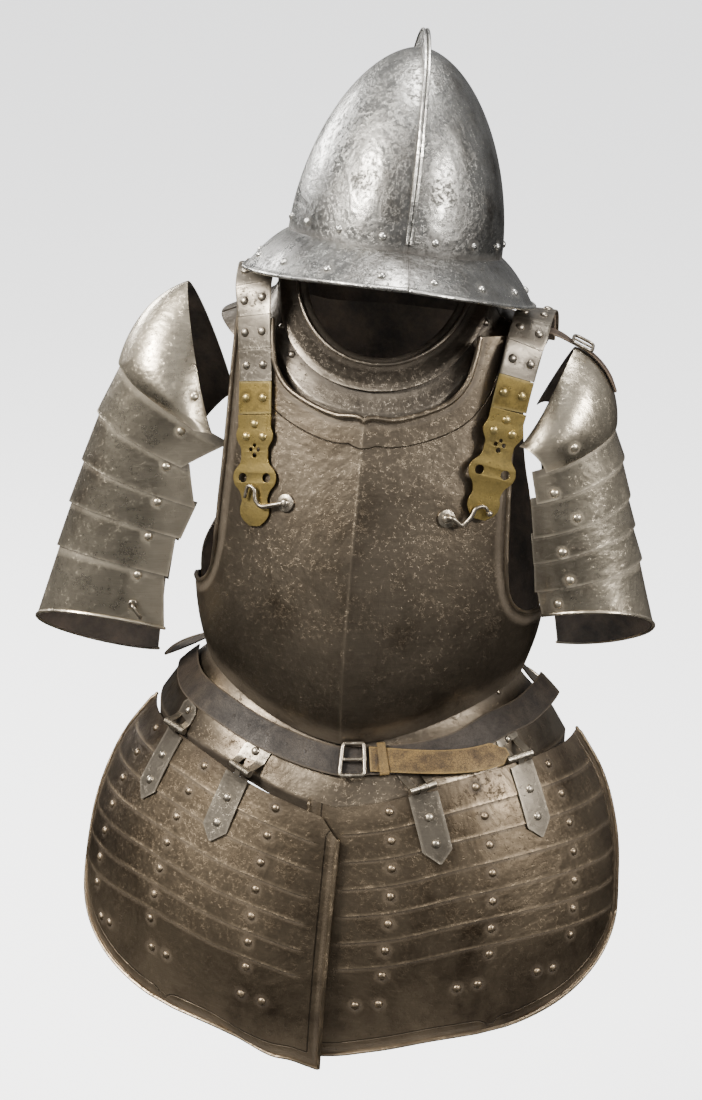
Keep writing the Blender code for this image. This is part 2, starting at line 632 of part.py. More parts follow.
def build_tasset(side):
    """One thigh plate with six embossed steps, a border and a rolled edge."""
    name = "tasset_right" if side < 0 else "tasset_left"
    us = [0.0, 0.022, 0.055 if side < 0 else 0.085, 0.085 if side < 0 else 0.10,
          0.22, 0.36, 0.50, 0.64, 0.78, 0.93, 0.978, 1.0]
    fn = scalar(lambda u, h: tasset_point(side, u, h))
    hs = tasset_rows()
    points = grid_of(fn, us, hs)
    ob = sheet(name, points.transpose(1, 0, 2), (0, 0.05, -0.5), split=False)
    thicken(ob, TASSET_WALL)
    spots = []
    cols = TASSET_COLS[0 if side < 0 else 1]
    for a, b in cols:
        for k in range(7):
            h = (STEP_TOP + (k - 0.60) * STEP_PITCH) / TASSET_LEN
            u = a + (b - a) * h
            near = min(abs(u - leaf_share(side, math.radians(d), h)) for d in HINGE_AT[side])
            if k > 2 or near > 0.055:
                spots.append((u, h))
        spots.append((b - 0.03, (STEP_TOP + 6.55 * STEP_PITCH) / TASSET_LEN))
        spots.append((b + 0.03, (STEP_TOP + 6.55 * STEP_PITCH) / TASSET_LEN))
    rivets_on(ob, facet(points, us, hs), spots, (0, 0.05, -0.5), 0.0038, 0.0026)
    return ob


def build_lame(side, k):
    """One plate of the arm defence."""
    name = "pauldron_%s_plate_%d" % ("right" if side < 0 else "left", k + 1)
    us = np.linspace(0, 1, 14)
    vs = [0, .25, .5, .75, 1.0] if k == 0 else [0, 0.5, 1.0]
    fn = scalar(lambda u, v: lame_point(side, k, np.array(u), np.array(v)))
    rows = ARM_RIGHT if side < 0 else ARM_LEFT
    mid = (side * 0.5 * (rows[k][0] + rows[k + 1][0]), ARM_Y,
           0.5 * (rows[k][1] + rows[k + 1][1]) - (0.03 if k == 0 else 0))
    ob = sheet(name, grid_of(fn, us, vs), mid)
    thicken(ob, LAME_WALL)
    spots = [ARM_RIVET[side][k], ARM_REAR if k else (0.84, 0.68)]
    points = grid_of(fn, us, vs)
    rivets_on(ob, facet(points, us, vs), spots, mid, 0.0042, 0.0026)
    return ob


def build_gorget():
    """Neck plates: a lower plate and a rolled upper plate, each in front and behind."""
    bands = (
        ("gorget", ((2.02, -0.0014, -0.0008), (2.4, -0.0008, -0.0004), (3, 0.0, 0.0), (4, 0.0, 0.0))),
        ("gorget_collar", ((0, 0.0, 0.0), (1, 0.0026, 0.0004), (1.5, 0.0030, 0.0012),
                           (2.0, 0.0028, 0.0016), (2.22, 0.0022, 0.0020))))
    made = []
    for label, stations in bands:
        for where, lo, hi in (("front", -89.3, 89.3), ("back", 90.7, 269.3)):
            az = np.radians(np.linspace(lo, hi, 15))
            pts = np.zeros((len(az), len(stations), 3))
            for i, a in enumerate(az):
                wrapped = a if a <= math.pi else a - 2 * math.pi
                for j, (r, up, out) in enumerate(stations):
                    k = min(int(r), 3)
                    p = gorget_ring(k, wrapped) * (1 - (r - k)) + gorget_ring(k + 1, wrapped) * (r - k)
                    flat = math.hypot(p[0], p[1])
                    pts[i, j] = p + np.array([out * p[0] / flat, out * p[1] / flat, up])
            ob = sheet(label + "_" + where, pts, (0, 0, -0.12))
            thicken(ob, GORGET_WALL)
            made.append(ob)
    return made


def build_helmet(side):
    """Half of the helmet: skull, brim and its leaf of the comb in one."""
    name = "helmet_right_half" if side < 0 else "helmet_left_half"
    turn = head_turn()
    azs = np.linspace(0.0, 1.0, 14)
    ws = [0.0, .12, .26, .41, .56, .71, .86, 1.0, 1.3, 1.65, 1.92, 2.0]
    pts = np.zeros((len(azs), len(ws), 3))
    shift = Vector((side * 0.00015, 0, 0))
    for i, u in enumerate(azs):
        for j, w in enumerate(ws):
            p = helmet_point(side, np.float64(u), float(w))
            pts[i, j] = turn @ (Vector(p) + shift)
    ob = sheet(name, pts, turn @ Vector((side * 0.03, 0, 0.02)))
    thicken(ob, HELMET_WALL)
    leaf = bmesh.new()
    steps = 16
    inner = []
    outer = []
    for i in range(steps + 1):
        t = i / steps
        e = math.pi * t
        c = abs(math.cos(e)) ** (2.0 / SKULL_N) * (1 if e < math.pi / 2 else -1)
        q = math.sin(e) ** (2.0 / SKULL_N)
        y, z = -SKULL_L * c, SKULL_H * q
        h = COMB_H * ease((0.5 - abs(t - 0.53)) / 0.44) + 0.002
        n = Vector((0, y / SKULL_L ** 2, z / SKULL_H ** 2)).normalized()
        inner.append(Vector((0, y, z)) - n * 0.0011)
        outer.append(Vector((0, y, z)) + n * h)
    x0, x1 = side * 0.00035, side * 0.0021
    ring = inner[1:-1] + outer[1:-1][::-1]
    lo = [leaf.verts.new((x0, p.y, p.z)) for p in ring]
    hi = [leaf.verts.new((x1, p.y, p.z)) for p in ring]
    n = len(ring)
    half = n // 2
    for i in range(n):
        j = (i + 1) % n
        leaf.faces.new((lo[i], lo[j], hi[j], hi[i]))
    for i in range(half - 1):
        a, b, c, d = i, i + 1, n - 2 - i, n - 1 - i
        leaf.faces.new((lo[a], lo[d], lo[c], lo[b]))
        leaf.faces.new((hi[a], hi[b], hi[c], hi[d]))
    bmesh.ops.recalc_face_normals(leaf, faces=leaf.faces)
    bmesh.ops.transform(leaf, matrix=turn, verts=leaf.verts)
    join_on(ob, cutter(name + "_comb", leaf))
    studs = bmesh.new()
    for d in (14, 38, 62, 86, 110, 134, 160):
        p, n = surface_spot(
            lambda a, v: skull_point(side, a, v), math.radians(d), 0.055, (0, 0, 0))
        stud(studs, turn @ Vector(p), turn.to_3x3() @ Vector(n), 0.0036, 0.0026, 5, 0.0014)
    for d in (10, 32, 56, 82, 108, 134, 160):
        p, n = surface_spot(lambda a, v: brim_point(side, a, v), math.radians(d), 0.72, (0, 0, -0.06))
        n = n if n[2] > 0 else -n
        stud(studs, turn @ Vector(p), turn.to_3x3() @ Vector(n), 0.0036, 0.0022, 5, 0.0014)
    join_on(ob, cutter(name + "_rivets", studs))
    box = bmesh.new()
    bmesh.ops.create_cube(box, size=0.8)
    bmesh.ops.translate(box, verts=box.verts, vec=Vector((side * (0.00022 - 0.4), 0, 0)))
    bmesh.ops.transform(box, matrix=turn, verts=box.verts)
    join_on(ob, cutter(name + "_seam", box), "DIFFERENCE")
    return ob


def strap_frame(side, s):
    """Centre, run, width and face directions of a shoulder strap at s metres from behind."""
    pts = np.array(STRAP_RIGHT if side < 0 else STRAP_LEFT) * np.array([side, 1.0, 1.0])
    step = np.linalg.norm(np.diff(pts, axis=0), axis=1)
    at = np.r_[0, np.cumsum(step)]
    tab = [(at[i], *pts[i]) for i in range(len(at))]
    p = np.array([column(tab, s, c) for c in (1, 2, 3)], float)
    q = np.array([column(tab, s + 0.002, c) for c in (1, 2, 3)], float)
    o = np.array([column(tab, s - 0.002, c) for c in (1, 2, 3)], float)
    run = (q - o) / np.linalg.norm(q - o)
    front = np.clip((s - 0.12) / 0.09, 0, 1) * 1.0
    beta = STRAP_TURN * float(front)
    dip = STRAP_DIP[0 if side < 0 else 1] * float(front)
    wide = np.array([side * math.cos(beta), math.sin(beta), -dip])
    wide = wide - run * np.dot(wide, run)
    wide = wide / np.linalg.norm(wide)
    face = np.cross(wide, run)
    if np.dot(face, p - np.array([p[0], 0.0, -0.14])) < 0:
        face = -face
    return p, run, wide, face, at[-1]


def strap_band(name, side, stations, low, wall, width, look):
    """Curved strip along the strap through the given stations, low to low+wall above its path."""
    pts = np.zeros((len(stations), 2, 3))
    for i, s in enumerate(stations):
        p, run, wide, face, total = strap_frame(side, s)
        for j, k in enumerate((-0.5, 0.5)):
            pts[i, j] = p + wide * width * k + face * (low + wall)
    mid = strap_frame(side, 0.5 * (stations[0] + stations[-1]))
    inside = mid[0] - mid[3] * 0.03
    ob = sheet(name, pts, inside, look)
    thicken(ob, wall)
    return ob


def build_straps():
    """Leather straps with riveted steel scales, brass ends and an ornamental brass tip."""
    made = []
    for side, tag in ((-1, "right"), (1, "left")):
        total = strap_frame(side, 0.1)[4]
        start = total - 0.112 - 0.032
        rows = [start - 0.0312 * 6 - 0.006]
        rows += [start - 0.0104 * k for k in range(18, -4, -1)] + [total - 0.104]
        made.append(strap_band("strap_leather_" + tag, side, rows, 0.0, 0.0022,
                               STRAP_W - 0.006, "leather"))
        brass = strap_band("strap_brass_plate_" + tag, side,
                           (start + 0.0003, start + 0.0104, start + 0.0208, start + 0.0309),
                           0.0027, 0.0013, STRAP_W, "brass")
        made.append(brass)
        strap_rivets(brass, side, start + 0.0156, ((-0.0095, 0), (0.0095, 0)), 0.004)
        for k in range(6):
            s1 = start - 0.0312 * k
            ob = strap_band("strap_scale_%s_%d" % (tag, k + 1), side,
                            (s1 - 0.0309, s1 - 0.0208, s1 - 0.0104, s1 - 0.0003),
                            0.0027, 0.0013, STRAP_W, "steel")
            strap_rivets(ob, side, s1 - 0.0156, ((-0.0095, 0), (0.0095, 0)), 0.004)
            made.append(ob)
        made.append(build_tip(side, tag))
    return made


def strap_rivets(ob, side, s, spots, low):
    """Rivet heads on a strap plate."""
    bm = bmesh.new()
    for w, r in spots:
        p, run, wide, face, total = strap_frame(side, s + r)
        stud(bm, p + wide * w + face * low, face, 0.0042, 0.0030, 5, 0.0008)
    join_on(ob, cutter(ob.name + "_rivets", bm))


# Ornamental strap tip outline: distance down from its top, half width
TIP = [
    (0.000, 0.0185), (0.0125, 0.0180), (0.016, 0.0205), (0.022, 0.0208), (0.0265, 0.0185),
    (0.031, 0.0150), (0.044, 0.0150), (0.0485, 0.0175), (0.0525, 0.0225), (0.060, 0.0245),
    (0.0675, 0.0225), (0.0715, 0.0175), (0.077, 0.0150), (0.083, 0.0140), (0.088, 0.0165),
    (0.096, 0.0160), (0.102, 0.0115), (0.106, 0.0045)]


def build_tip(side, tag):
    """Flat brass tip with lobes, a keyhole trefoil and round eyes."""
    name = "strap_brass_tip_" + tag
    p, run, wide, face = tip_frame(side)
    lo, hi = 0.0027, 0.0041
    bm = bmesh.new()
    left = []
    right = []
    for d, w in TIP:
        left.append(p + run * d - wide * w)
        right.append(p + run * d + wide * w)
    grid = []
    for h in (lo, hi):
        grid.append(([bm.verts.new(v + face * h) for v in left],
                     [bm.verts.new(v + face * h) for v in right]))
    (l0, r0), (l1, r1) = grid
    n = len(TIP)
    for i in range(n - 1):
        bm.faces.new((l1[i], r1[i], r1[i + 1], l1[i + 1]))
        bm.faces.new((l0[i + 1], r0[i + 1], r0[i], l0[i]))
        bm.faces.new((l0[i], l1[i], l1[i + 1], l0[i + 1]))
        bm.faces.new((r0[i + 1], r1[i + 1], r1[i], r0[i]))
    bm.faces.new((l0[0], r0[0], r1[0], l1[0]))
    bm.faces.new((l1[-1], r1[-1], r0[-1], l0[-1]))
    bmesh.ops.recalc_face_normals(bm, faces=bm.faces)
    mesh = bpy.data.meshes.new(name)
    bm.to_mesh(mesh)
    bm.free()
    ob = link(mesh, name, "brass", MAIN)
    turn = Vector(face).to_track_quat("Z", "Y").to_matrix().to_4x4()
    for w, d, r in ((0.0, 0.0370, 0.0027), (-0.0036, 0.0335, 0.0024), (0.0036, 0.0335, 0.0024),
                    (-0.0135, 0.0600, 0.0048), (0.0135, 0.0600, 0.0048)):
        at = p + run * d + wide * w + face * 0.0034
        one = bmesh.new()
        bmesh.ops.create_cone(one, cap_ends=True, segments=8, radius1=r, radius2=r, depth=0.006,
                              matrix=Matrix.Translation(Vector(at)) @ turn)
        tool = cutter("%s_hole_%d" % (name, int(d * 10000) + int(w * 10000) + 200), one)
        join_on(ob, tool, "DIFFERENCE")
    studs = bmesh.new()
    for w, d in ((0.0, 0.0085), (-0.0095, 0.0205), (0.0095, 0.0205)):
        stud(studs, p + run * d + wide * w + face * (hi - 0.0001), face, 0.0042, 0.0030, 5, 0.0008)
    join_on(ob, cutter(name + "_rivets", studs))
    return ob


def tube(bm, path, radius, sides=6, closed=False):
    """Round bar along a list of points, capped at both ends."""
    pts = [Vector(p) for p in path]
    rings = []
    up = None
    for i, p in enumerate(pts):
        if closed:
            t = (pts[(i + 1) % len(pts)] - pts[i - 1]).normalized()
        else:
            t = (pts[min(i + 1, len(pts) - 1)] - pts[max(i - 1, 0)]).normalized()
        if up is None:
            up = t.orthogonal().normalized()
        up = (up - t * up.dot(t)).normalized()
        side = t.cross(up)
        ring = []
        for k in range(sides):
            a = 2 * math.pi * k / sides
            ring.append(bm.verts.new(p + (up * math.cos(a) + side * math.sin(a)) * radius))
        rings.append(ring)
    last = len(rings) if closed else len(rings) - 1
    for i in range(last):
        a, b = rings[i], rings[(i + 1) % len(rings)]
        for k in range(sides):
            m = (k + 1) % sides
            bm.faces.new((a[k], a[m], b[m], b[k]))
    if not closed:
        bm.faces.new(rings[0][::-1])
        bm.faces.new(rings[-1])
    bmesh.ops.recalc_face_normals(bm, faces=bm.faces)


def tip_frame(side):
    """Top middle of a strap tip with its run, width and face directions."""
    s = strap_frame(side, 0.1)[4] - 0.1125
    p, run, wide, face, total = strap_frame(side, s + 0.0005)
    q = strap_frame(side, s + 0.095)[0]
    run = (q - p) / np.linalg.norm(q - p)
    wide = wide - run * np.dot(wide, run)
    wide = wide / np.linalg.norm(wide)
    face = np.cross(wide, run)
    if face[1] > 0:
        face = -face
    return p, run, wide, face


# Swivel hooks: side, washer half spread and level, then rod points as width, run, height on the tip
HOOKS = (
    (-1, 0.0690, -0.2100, ((-0.0230, 0.0855, 0.0070), (-0.0080, 0.0860, 0.0078), (-0.0040, 0.0810, 0.0085),
                           (-0.0025, 0.0700, 0.0090), (0.0030, 0.0675, 0.0090), (0.0080, 0.0780, 0.0085))),
    (1, 0.0835, -0.2120, ((-0.0290, 0.1110, 0.0060), (-0.0170, 0.1150, 0.0070), (-0.0110, 0.1060, 0.0085),
                          (-0.0080, 0.0960, 0.0092), (-0.0010, 0.0930, 0.0092), (0.0060, 0.0980, 0.0085))))


def build_hooks():
    """Swivel hooks that hold the strap tips to the breastplate."""
    made = []
    for side, cx, cz, path in HOOKS:
        name = "strap_hook_" + ("right" if side < 0 else "left")
        phi = math.asin(cx / float(column(TRUNK, cz, 1)))
        at, n = surface_spot(scalar(lambda a, z: trunk(a, z)), side * phi, cz, (0, 0, cz))
        turn = Vector(n).to_track_quat("Z", "Y").to_matrix().to_4x4()
        bm = bmesh.new()
        bmesh.ops.create_cone(bm, cap_ends=True, segments=10, radius1=0.0085, radius2=0.0078,
                              depth=0.0026, matrix=Matrix.Translation(Vector(at + n * 0.0020)) @ turn)
        mesh = bpy.data.meshes.new(name)
        bm.to_mesh(mesh)
        bm.free()
        ob = link(mesh, name, "steel", MAIN)
        p, run, wide, face = tip_frame(side)
        pts = [at + n * 0.0036] + [p + wide * w + run * d + face * h for w, d, h in path]
        rod = bmesh.new()
        tube(rod, pts, 0.0021)
        join_on(ob, cutter(name + "_rod", rod))
        knob = bmesh.new()
        stud(knob, at + n * 0.0030, n, 0.0045, 0.0038, 7, 0.0008)
        join_on(ob, cutter(name + "_knob", knob))
        made.append(ob)
    return made


# Belt standoff from the skirt lame, and its middle by angle from the front
BELT_OFF = 0.0050
BELT = [(-95.0, -0.4300), (-70.0, -0.4290), (-45.0, -0.4300), (-20.0, -0.4420),
    (-10.0, -0.4465), (0.0, -0.4492),
        (10.0, -0.4480), (20.0, -0.4455), (36.0, -0.4390), (52.0, -0.4285), (70.0, -0.4290), (95.0, -0.4300)]


def skirt_spot(phi, z, off):
    """Point off the skirt lame at an angle and level, moved out along its normal."""
    def at(a, level):
        top = waist(a) + 0.012
        return fauld_point(a, (level - top) / (fauld_edge(a) - top))
    p = at(phi, z)
    n = np.cross(at(phi + 0.004, z) - at(phi - 0.004, z), at(phi, z + 0.0006) - at(phi, z - 0.0006))
    n = n / np.linalg.norm(n)
    if n[0] * p[0] + n[1] * p[1] < 0:
        n = -n
    return p + n * off


def belt_point(phi, up, off):
    """Belt frame round the waist: angle from the front, height on its straight width, standoff."""
    z = float(column(BELT, math.degrees(phi), 1))
    side = [skirt_spot(np.float64(phi), np.float64(z + k * 0.0145), 0.0) for k in (-1, -0.5, 0, 0.5, 1)]
    tall = side[-1] - side[0]
    tall = tall / np.linalg.norm(tall)
    around = np.array([math.cos(phi), math.sin(phi), 0.0])
    face = np.cross(around, tall)
    face = face / np.linalg.norm(face)
    if face[0] * side[2][0] + face[1] * side[2][1] < 0:
        face = -face
    mid = (side[0] + side[-1]) / 2
    bump = max(0.0, max(np.dot(q - mid, face) for q in side))
    away = 0.012 * float(ease((math.degrees(phi) - 62.0) / 26.0))
    return mid + tall * up + face * (bump + off + away)


def build_belt():
    """Waist belt in front, its tail, buckle and keeper."""
    made = []
    a0, a1 = math.radians(-86.0), math.radians(86.0)
    phis = np.linspace(a0, a1, 27)
    pts = np.zeros((len(phis), 2, 3))
    for i, phi in enumerate(phis):
        for j, up in enumerate((-0.0145, 0.0145)):
            pts[i, j] = belt_point(phi, up, BELT_OFF)
    ob = sheet("waist_belt", pts, (0, 0, -0.40), "leather")
    thicken(ob, 0.0024)
    made.append(ob)
    return made


def build_tail():
    """Free end of the belt beyond the buckle, in worn leather, with its keeper and the buckle."""
    made = []
    pts = np.zeros((12, 2, 3))
    for i, q in enumerate(np.linspace(0, 1, 12)):
        a = math.radians(10.0 + 38.0 * q)
        mid = 0.0005 - 0.0290 * q ** 1.35
        half = 0.0125 * (1.0 if q < 0.93 else 0.35)
        for j, k in enumerate((-1, 1)):
            pts[i, j] = belt_point(a, mid + half * k, BELT_OFF + 0.0032 + 0.0070 * q * q)
    ob = sheet("belt_tail", pts, (0, 0, -0.44), "buff")
    thicken(ob, 0.0026)
    made.append(ob)
    loop = np.zeros((3, 6, 3))
    for i, a in enumerate(np.radians((12.6, 13.9, 15.2))):
        for j, (up, off) in enumerate(((-0.0163, 0.0062), (-0.0163, 0.0086), (-0.0150, 0.0100),
                                       (0.0150, 0.0100), (0.0163, 0.0086), (0.0163, 0.0062))):
            loop[i, j] = belt_point(a, up, off)
    ob = sheet("belt_keeper", loop, belt_point(math.radians(13.9), 0.0, 0.0), "buff")
    thicken(ob, 0.0010)
    made.append(ob)
    frame = []
    for a, up in ((1.2, -0.0160), (1.2, 0.0160), (8.4, 0.0160), (8.4, -0.0160)):
        frame.append(belt_point(math.radians(a), up, 0.0090))
    path = []
    for i in range(4):
        c, n, m = frame[i], frame[(i + 1) % 4], frame[i - 1]
        path.append(c + (m - c) * 0.12)
        path.append(c + (n - c) * 0.12)
    bm = bmesh.new()
    tube(bm, path, 0.0020, 8, True)
    mesh = bpy.data.meshes.new("belt_buckle")
    bm.to_mesh(mesh)
    bm.free()
    ob = link(mesh, "belt_buckle", "steel", MAIN)
    rod = bmesh.new()
    tube(rod, [belt_point(math.radians(a), 0.0, 0.0090) for a in (1.2, 4.8, 8.4)], 0.0016)
    join_on(ob, cutter("belt_buckle_prong", rod))
    made.append(ob)
    return made


# Hinges: angles of each side's two barrels from the front
HINGE_AT = {-1: (26.4, 53.5), 1: (22.3, 51.3)}
HINGE_UP = {-1: (0.0020, 0.0030), 1: (0.0088, 0.0125)}
HINGE_W = 0.028
HINGE_R = 0.0036
HINGE_OFF = 0.0080
# Rivet of each upper leaf, up from the axis; the left inner one lies behind the belt
LEAF_RIVET = {(-1, 0): (0.0128,), (-1, 1): (0.0128,), (1, 0): (), (1, 1): (0.0080,)}
PIN_R = 0.0015
BORE_R = 0.0019


def hinge_spot(side, deg):
    """Middle of a hinge barrel: on the skirt lame's edge, standing off its face."""
    a = math.radians(deg)
    p = fauld_point(np.float64(a), np.float64(1.0), HINGE_OFF)
    up = HINGE_UP[side][HINGE_AT[side].index(deg)]
    return np.array([side * p[0] + 0.6 * TASSET_X, p[1], p[2] + up])


def hinge_line(side):
    """A point on a thigh plate's hinge axis and the axis direction, toward the wearer's left."""
    p, q = (hinge_spot(side, d) for d in HINGE_AT[side])
    if side < 0:
        p, q = q, p
    return p, (q - p) / np.linalg.norm(q - p)


def cylinder(bm, mid, along, radius, length, sides=10):
    """Capped cylinder about a point."""
    turn = Vector(along).to_track_quat("Z", "Y").to_matrix().to_4x4()
    bmesh.ops.create_cone(bm, cap_ends=True, segments=sides, radius1=radius, radius2=radius,
                          depth=length, matrix=Matrix.Translation(Vector(mid)) @ turn)


def ring(bm, mid, along, outer, inner, length, sides=8):
    """Hollow cylinder about a point."""
    turn = Vector(along).to_track_quat("Z", "Y").to_matrix().to_4x4()
    place = Matrix.Translation(Vector(mid)) @ turn
    loops = []
    for r, z in ((outer, -0.5), (outer, 0.5), (inner, 0.5), (inner, -0.5)):
        loop = []
        for k in range(sides):
            a = 2 * math.pi * (k + 0.5) / sides
            loop.append(bm.verts.new(place @ Vector((r * math.cos(a), r * math.sin(a), z * length))))
        loops.append(loop)
    for i in range(4):
        a, b = loops[i], loops[(i + 1) % 4]
        for k in range(sides):
            m = (k + 1) % sides
            bm.faces.new((a[k], a[m], b[m], b[k]))
    bmesh.ops.recalc_face_normals(bm, faces=bm.faces)


def leaf_seat(side, t, level, low):
    """Where a hinge leaf lies on its plate, at an angle and a level."""
    if not low:
        return skirt_spot(np.float64(t), np.float64(level), 0.0018) * np.array([side, 1.0, 1.0])
    share = leaf_share(side, t, 0.0)
    top = float(fauld_edge(t)) + float(column(TASSET_TOP[side], share, 1))
    h = max(top - level, 0.0) / TASSET_LEN
    over = TASSET_OVER * float(ease((0.55 - share) / 0.35)) if side < 0 else 0.0
    w = float(column(TASSET, h, 1)) + 0.0019 + STEP_RISE + over
    f = float(column(TASSET, h, 2)) + 0.0019 + STEP_RISE + over
    keel = 0.008 * (1.0 - abs(math.sin(t))) ** 3 * (1 - h)
    y = float(column(TASSET, h, 3)) - f * math.cos(t) - keel
    return np.array([TASSET_X + side * w * math.sin(t), y, level])


def leaf_point(side, deg, low, w, d):
    """Outer face of a hinge leaf: w across, d away from the axis along the plate."""
    a = math.radians(deg)
    mid = hinge_spot(side, deg)
    p, along = hinge_line(side)
    out = np.array([side * math.sin(a) / 0.2065, -math.cos(a) / 0.1985, 0.0])
    out = out - along * np.dot(out, along)
    out = out / np.linalg.norm(out)
    near = mid + along * w + out * (HINGE_R - 0.0003)
    level = near[2] + (-d if low else d)
    t = a
    for _ in range(6):
        far = leaf_seat(side, t, level, low)
        slide = np.array([side * math.cos(t), math.sin(t), 0.0])
        t += (w - np.dot(far - mid, along)) / (0.21 * np.dot(slide, along))
    k = float(ease(d / (0.0075 if low else 0.0056)))
    flat = near + np.array([0, 0, -d if low else d])
    return flat * (1 - k) + far * k


def leaf_share(side, angle, h):
    """Share of the thigh plate's width at an angle, near its top."""
    inner = -0.006 if side < 0 else -0.026
    w = float(column(TASSET, h, 1))
    return (angle - math.asin(inner / w)) / (math.radians(84.0) - math.asin(inner / w))


def build_hinge(side, which):
    """Upper and lower leaf of one thigh-plate hinge."""
    deg = HINGE_AT[side][which]
    tag = "%s_%s" % ("right" if side < 0 else "left", ("inner", "outer")[which])
    mid = hinge_spot(side, deg)
    along = hinge_line(side)[1]
    inside = mid * np.array([0.6, 0.6, 1.0])
    made = []
    plans = (
        ("hinge_upper_" + tag, False, (0.0014, 0.0056, 0.0085, 0.0150, 0.0195), 0.0095,
         ((0, 1),)),
        ("hinge_lower_" + tag, True, (0.0014, 0.0056, 0.0090, 0.034, 0.0575, 0.0700),
         0.0010, ((0, 0), (0, 2))))
    for name, low, ds, tip, drop in plans:
        split = 0.24 if low else 0.41
        pts = np.zeros((len(ds), 4, 3))
        for i, d in enumerate(ds):
            half = tip if i == len(ds) - 1 else HINGE_W / 2
            for j, k in enumerate((-1, -split, split, 1)):
                pts[i, j] = leaf_point(side, deg, low, k * half, d)
        ob = sheet(name, pts, inside, "steel", drop)
        thicken(ob, 0.0012)
        third = HINGE_W / 3
        knuckle = bmesh.new()
        if low:
            ring(knuckle, mid, along, HINGE_R, BORE_R, third - 0.0008)
        else:
            for k in (-1, 1):
                cylinder(knuckle, mid + along * third * k, along, HINGE_R, third, 8)
        join_on(ob, cutter(name + "_knuckle", knuckle))
        if not low:
            pin = bmesh.new()
            cylinder(pin, mid, along, PIN_R, HINGE_W * 0.9, 6)
            join_on(ob, cutter(name + "_pin", pin))
        studs = bmesh.new()
        for d in ((0.0275, 0.0515) if low else LEAF_RIVET[side, which]):
            p = leaf_point(side, deg, low, 0.0, d)
            across = leaf_point(side, deg, low, 0.004, d) - p
            n = np.cross(across, leaf_point(side, deg, low, 0.0, d + 0.002) - p)
            n = n / np.linalg.norm(n)
            n = n if np.dot(n, mid * np.array([1, 1, 0])) > 0 else -n
            stud(studs, p - n * 0.0002, n, 0.0042 if low or side < 0 else 0.0034, 0.0030)
        if studs.verts:
            join_on(ob, cutter(name + "_rivets", studs))
        else:
            studs.free()
        made.append(ob)
    return made


# Leather strap over the left arm's top plate: free start points, then shares down the plate
ARM_STRAP_START = ((0.158, -0.0555), (0.172, -0.0600))
ARM_STRAP_DOWN = (0.02, 0.14, 0.28, 0.42, 0.56, 0.70)


def arm_strap_point(i, w, lift):
    """Point i along the arm strap, w across it, raised by lift."""
    if i < len(ARM_STRAP_START):
        x, z = ARM_STRAP_START[i]
        return np.array([x + 0.3 * lift, ARM_Y + w, z + 0.95 * lift])
    v = np.float64(ARM_STRAP_DOWN[i - len(ARM_STRAP_START)])
    return lame_point(1, 0, np.float64(0.5 + w / 0.245), v, np.float64(lift))


def put_origin(ob, at):
    """Move an object's origin onto a point and leave its shape where it is."""
    ob.data.transform(Matrix.Translation(-Vector(at)))
    ob.location = Vector(at)


def build_arm_strap():
    """Strap and buckle on top of the left arm defence, and the catch of the right one."""
    made = []
    count = len(ARM_STRAP_START) + len(ARM_STRAP_DOWN)
    pts = np.zeros((count, 3, 3))
    for i in range(count):
        half = 0.0085 if i < count - 1 else 0.0045
        for j, k in enumerate((-1, 0, 1)):
            pts[i, j] = arm_strap_point(i, k * half, 0.0034)
    ob = sheet("pauldron_left_strap", pts, (0.14, 0, -0.16), "leather")
    thicken(ob, 0.0022)
    made.append(ob)
    bm = bmesh.new()
    a, b = arm_strap_point(2, 0.0, 0.0068), arm_strap_point(3, 0.0, 0.0068)
    mid = (a + b) / 2
    run = (b - a) / np.linalg.norm(b - a)
    cross = np.array([0.0, 1.0, 0.0])
    path = []
    for r, c in ((-1, -0.7), (-1, 0.7), (-0.7, 1), (0.7, 1), (1, 0.7), (1, -0.7), (0.7, -1), (-0.7, -1)):
        path.append(mid + run * 0.0105 * r + cross * 0.0125 * c)
    tube(bm, path, 0.0016, 6, True)
    mesh = bpy.data.meshes.new("pauldron_left_buckle")
    bm.to_mesh(mesh)
    bm.free()
    ob = link(mesh, "pauldron_left_buckle", "steel", MAIN)
    rod = bmesh.new()
    tube(rod, [mid - run * 0.0105, mid + run * 0.0105], 0.0012)
    join_on(ob, cutter("pauldron_left_buckle_prong", rod))
    made.append(ob)
    spot = scalar(lambda u, v: lame_point(-1, 5, np.array(u), np.array(v)))
    p, n = surface_spot(spot, 0.075, 0.72, (-0.262, ARM_Y, -0.38))
    bm = bmesh.new()
    stud(bm, p + n * 0.0013, n, 0.0050, 0.0026, 8, 0.0010, 0.85)
    mesh = bpy.data.meshes.new("pauldron_right_catch")
    bm.to_mesh(mesh)
    bm.free()
    ob = link(mesh, "pauldron_right_catch", "steel", MAIN)
    rod = bmesh.new()
    down = np.array([0.55, 0.0, -0.83])
    down = down - n * np.dot(down, n)
    down = down / np.linalg.norm(down)
    tube(rod, [p + n * 0.0020, p + n * 0.0066, p + n * 0.0078 + down * 0.006,
               p + n * 0.0070 + down * 0.014], 0.0019, 8)
    join_on(ob, cutter("pauldron_right_catch_turn", rod))
    made.append(ob)
    return made


def main():
    """Build every part."""
    made = [build_breast(), build_back(), build_fauld()]
    made += [build_tasset(-1), build_tasset(1)]
    for side in (-1, 1):
        for k in range(6):
            made.append(build_lame(side, k))
    made += build_gorget()
    made += [build_helmet(-1), build_helmet(1)]
    made += build_straps()
    made += build_hooks()
    made += build_belt()
    made += build_tail()
    for side in (-1, 1):
        made += build_hinge(side, 0) + build_hinge(side, 1)
    made += build_arm_strap()
    for ob in made:
        if ob.name.startswith(("tasset_", "hinge_lower_")):
            side = -1 if "right" in ob.name else 1
            p, along = hinge_line(side)
            put_origin(ob, p)


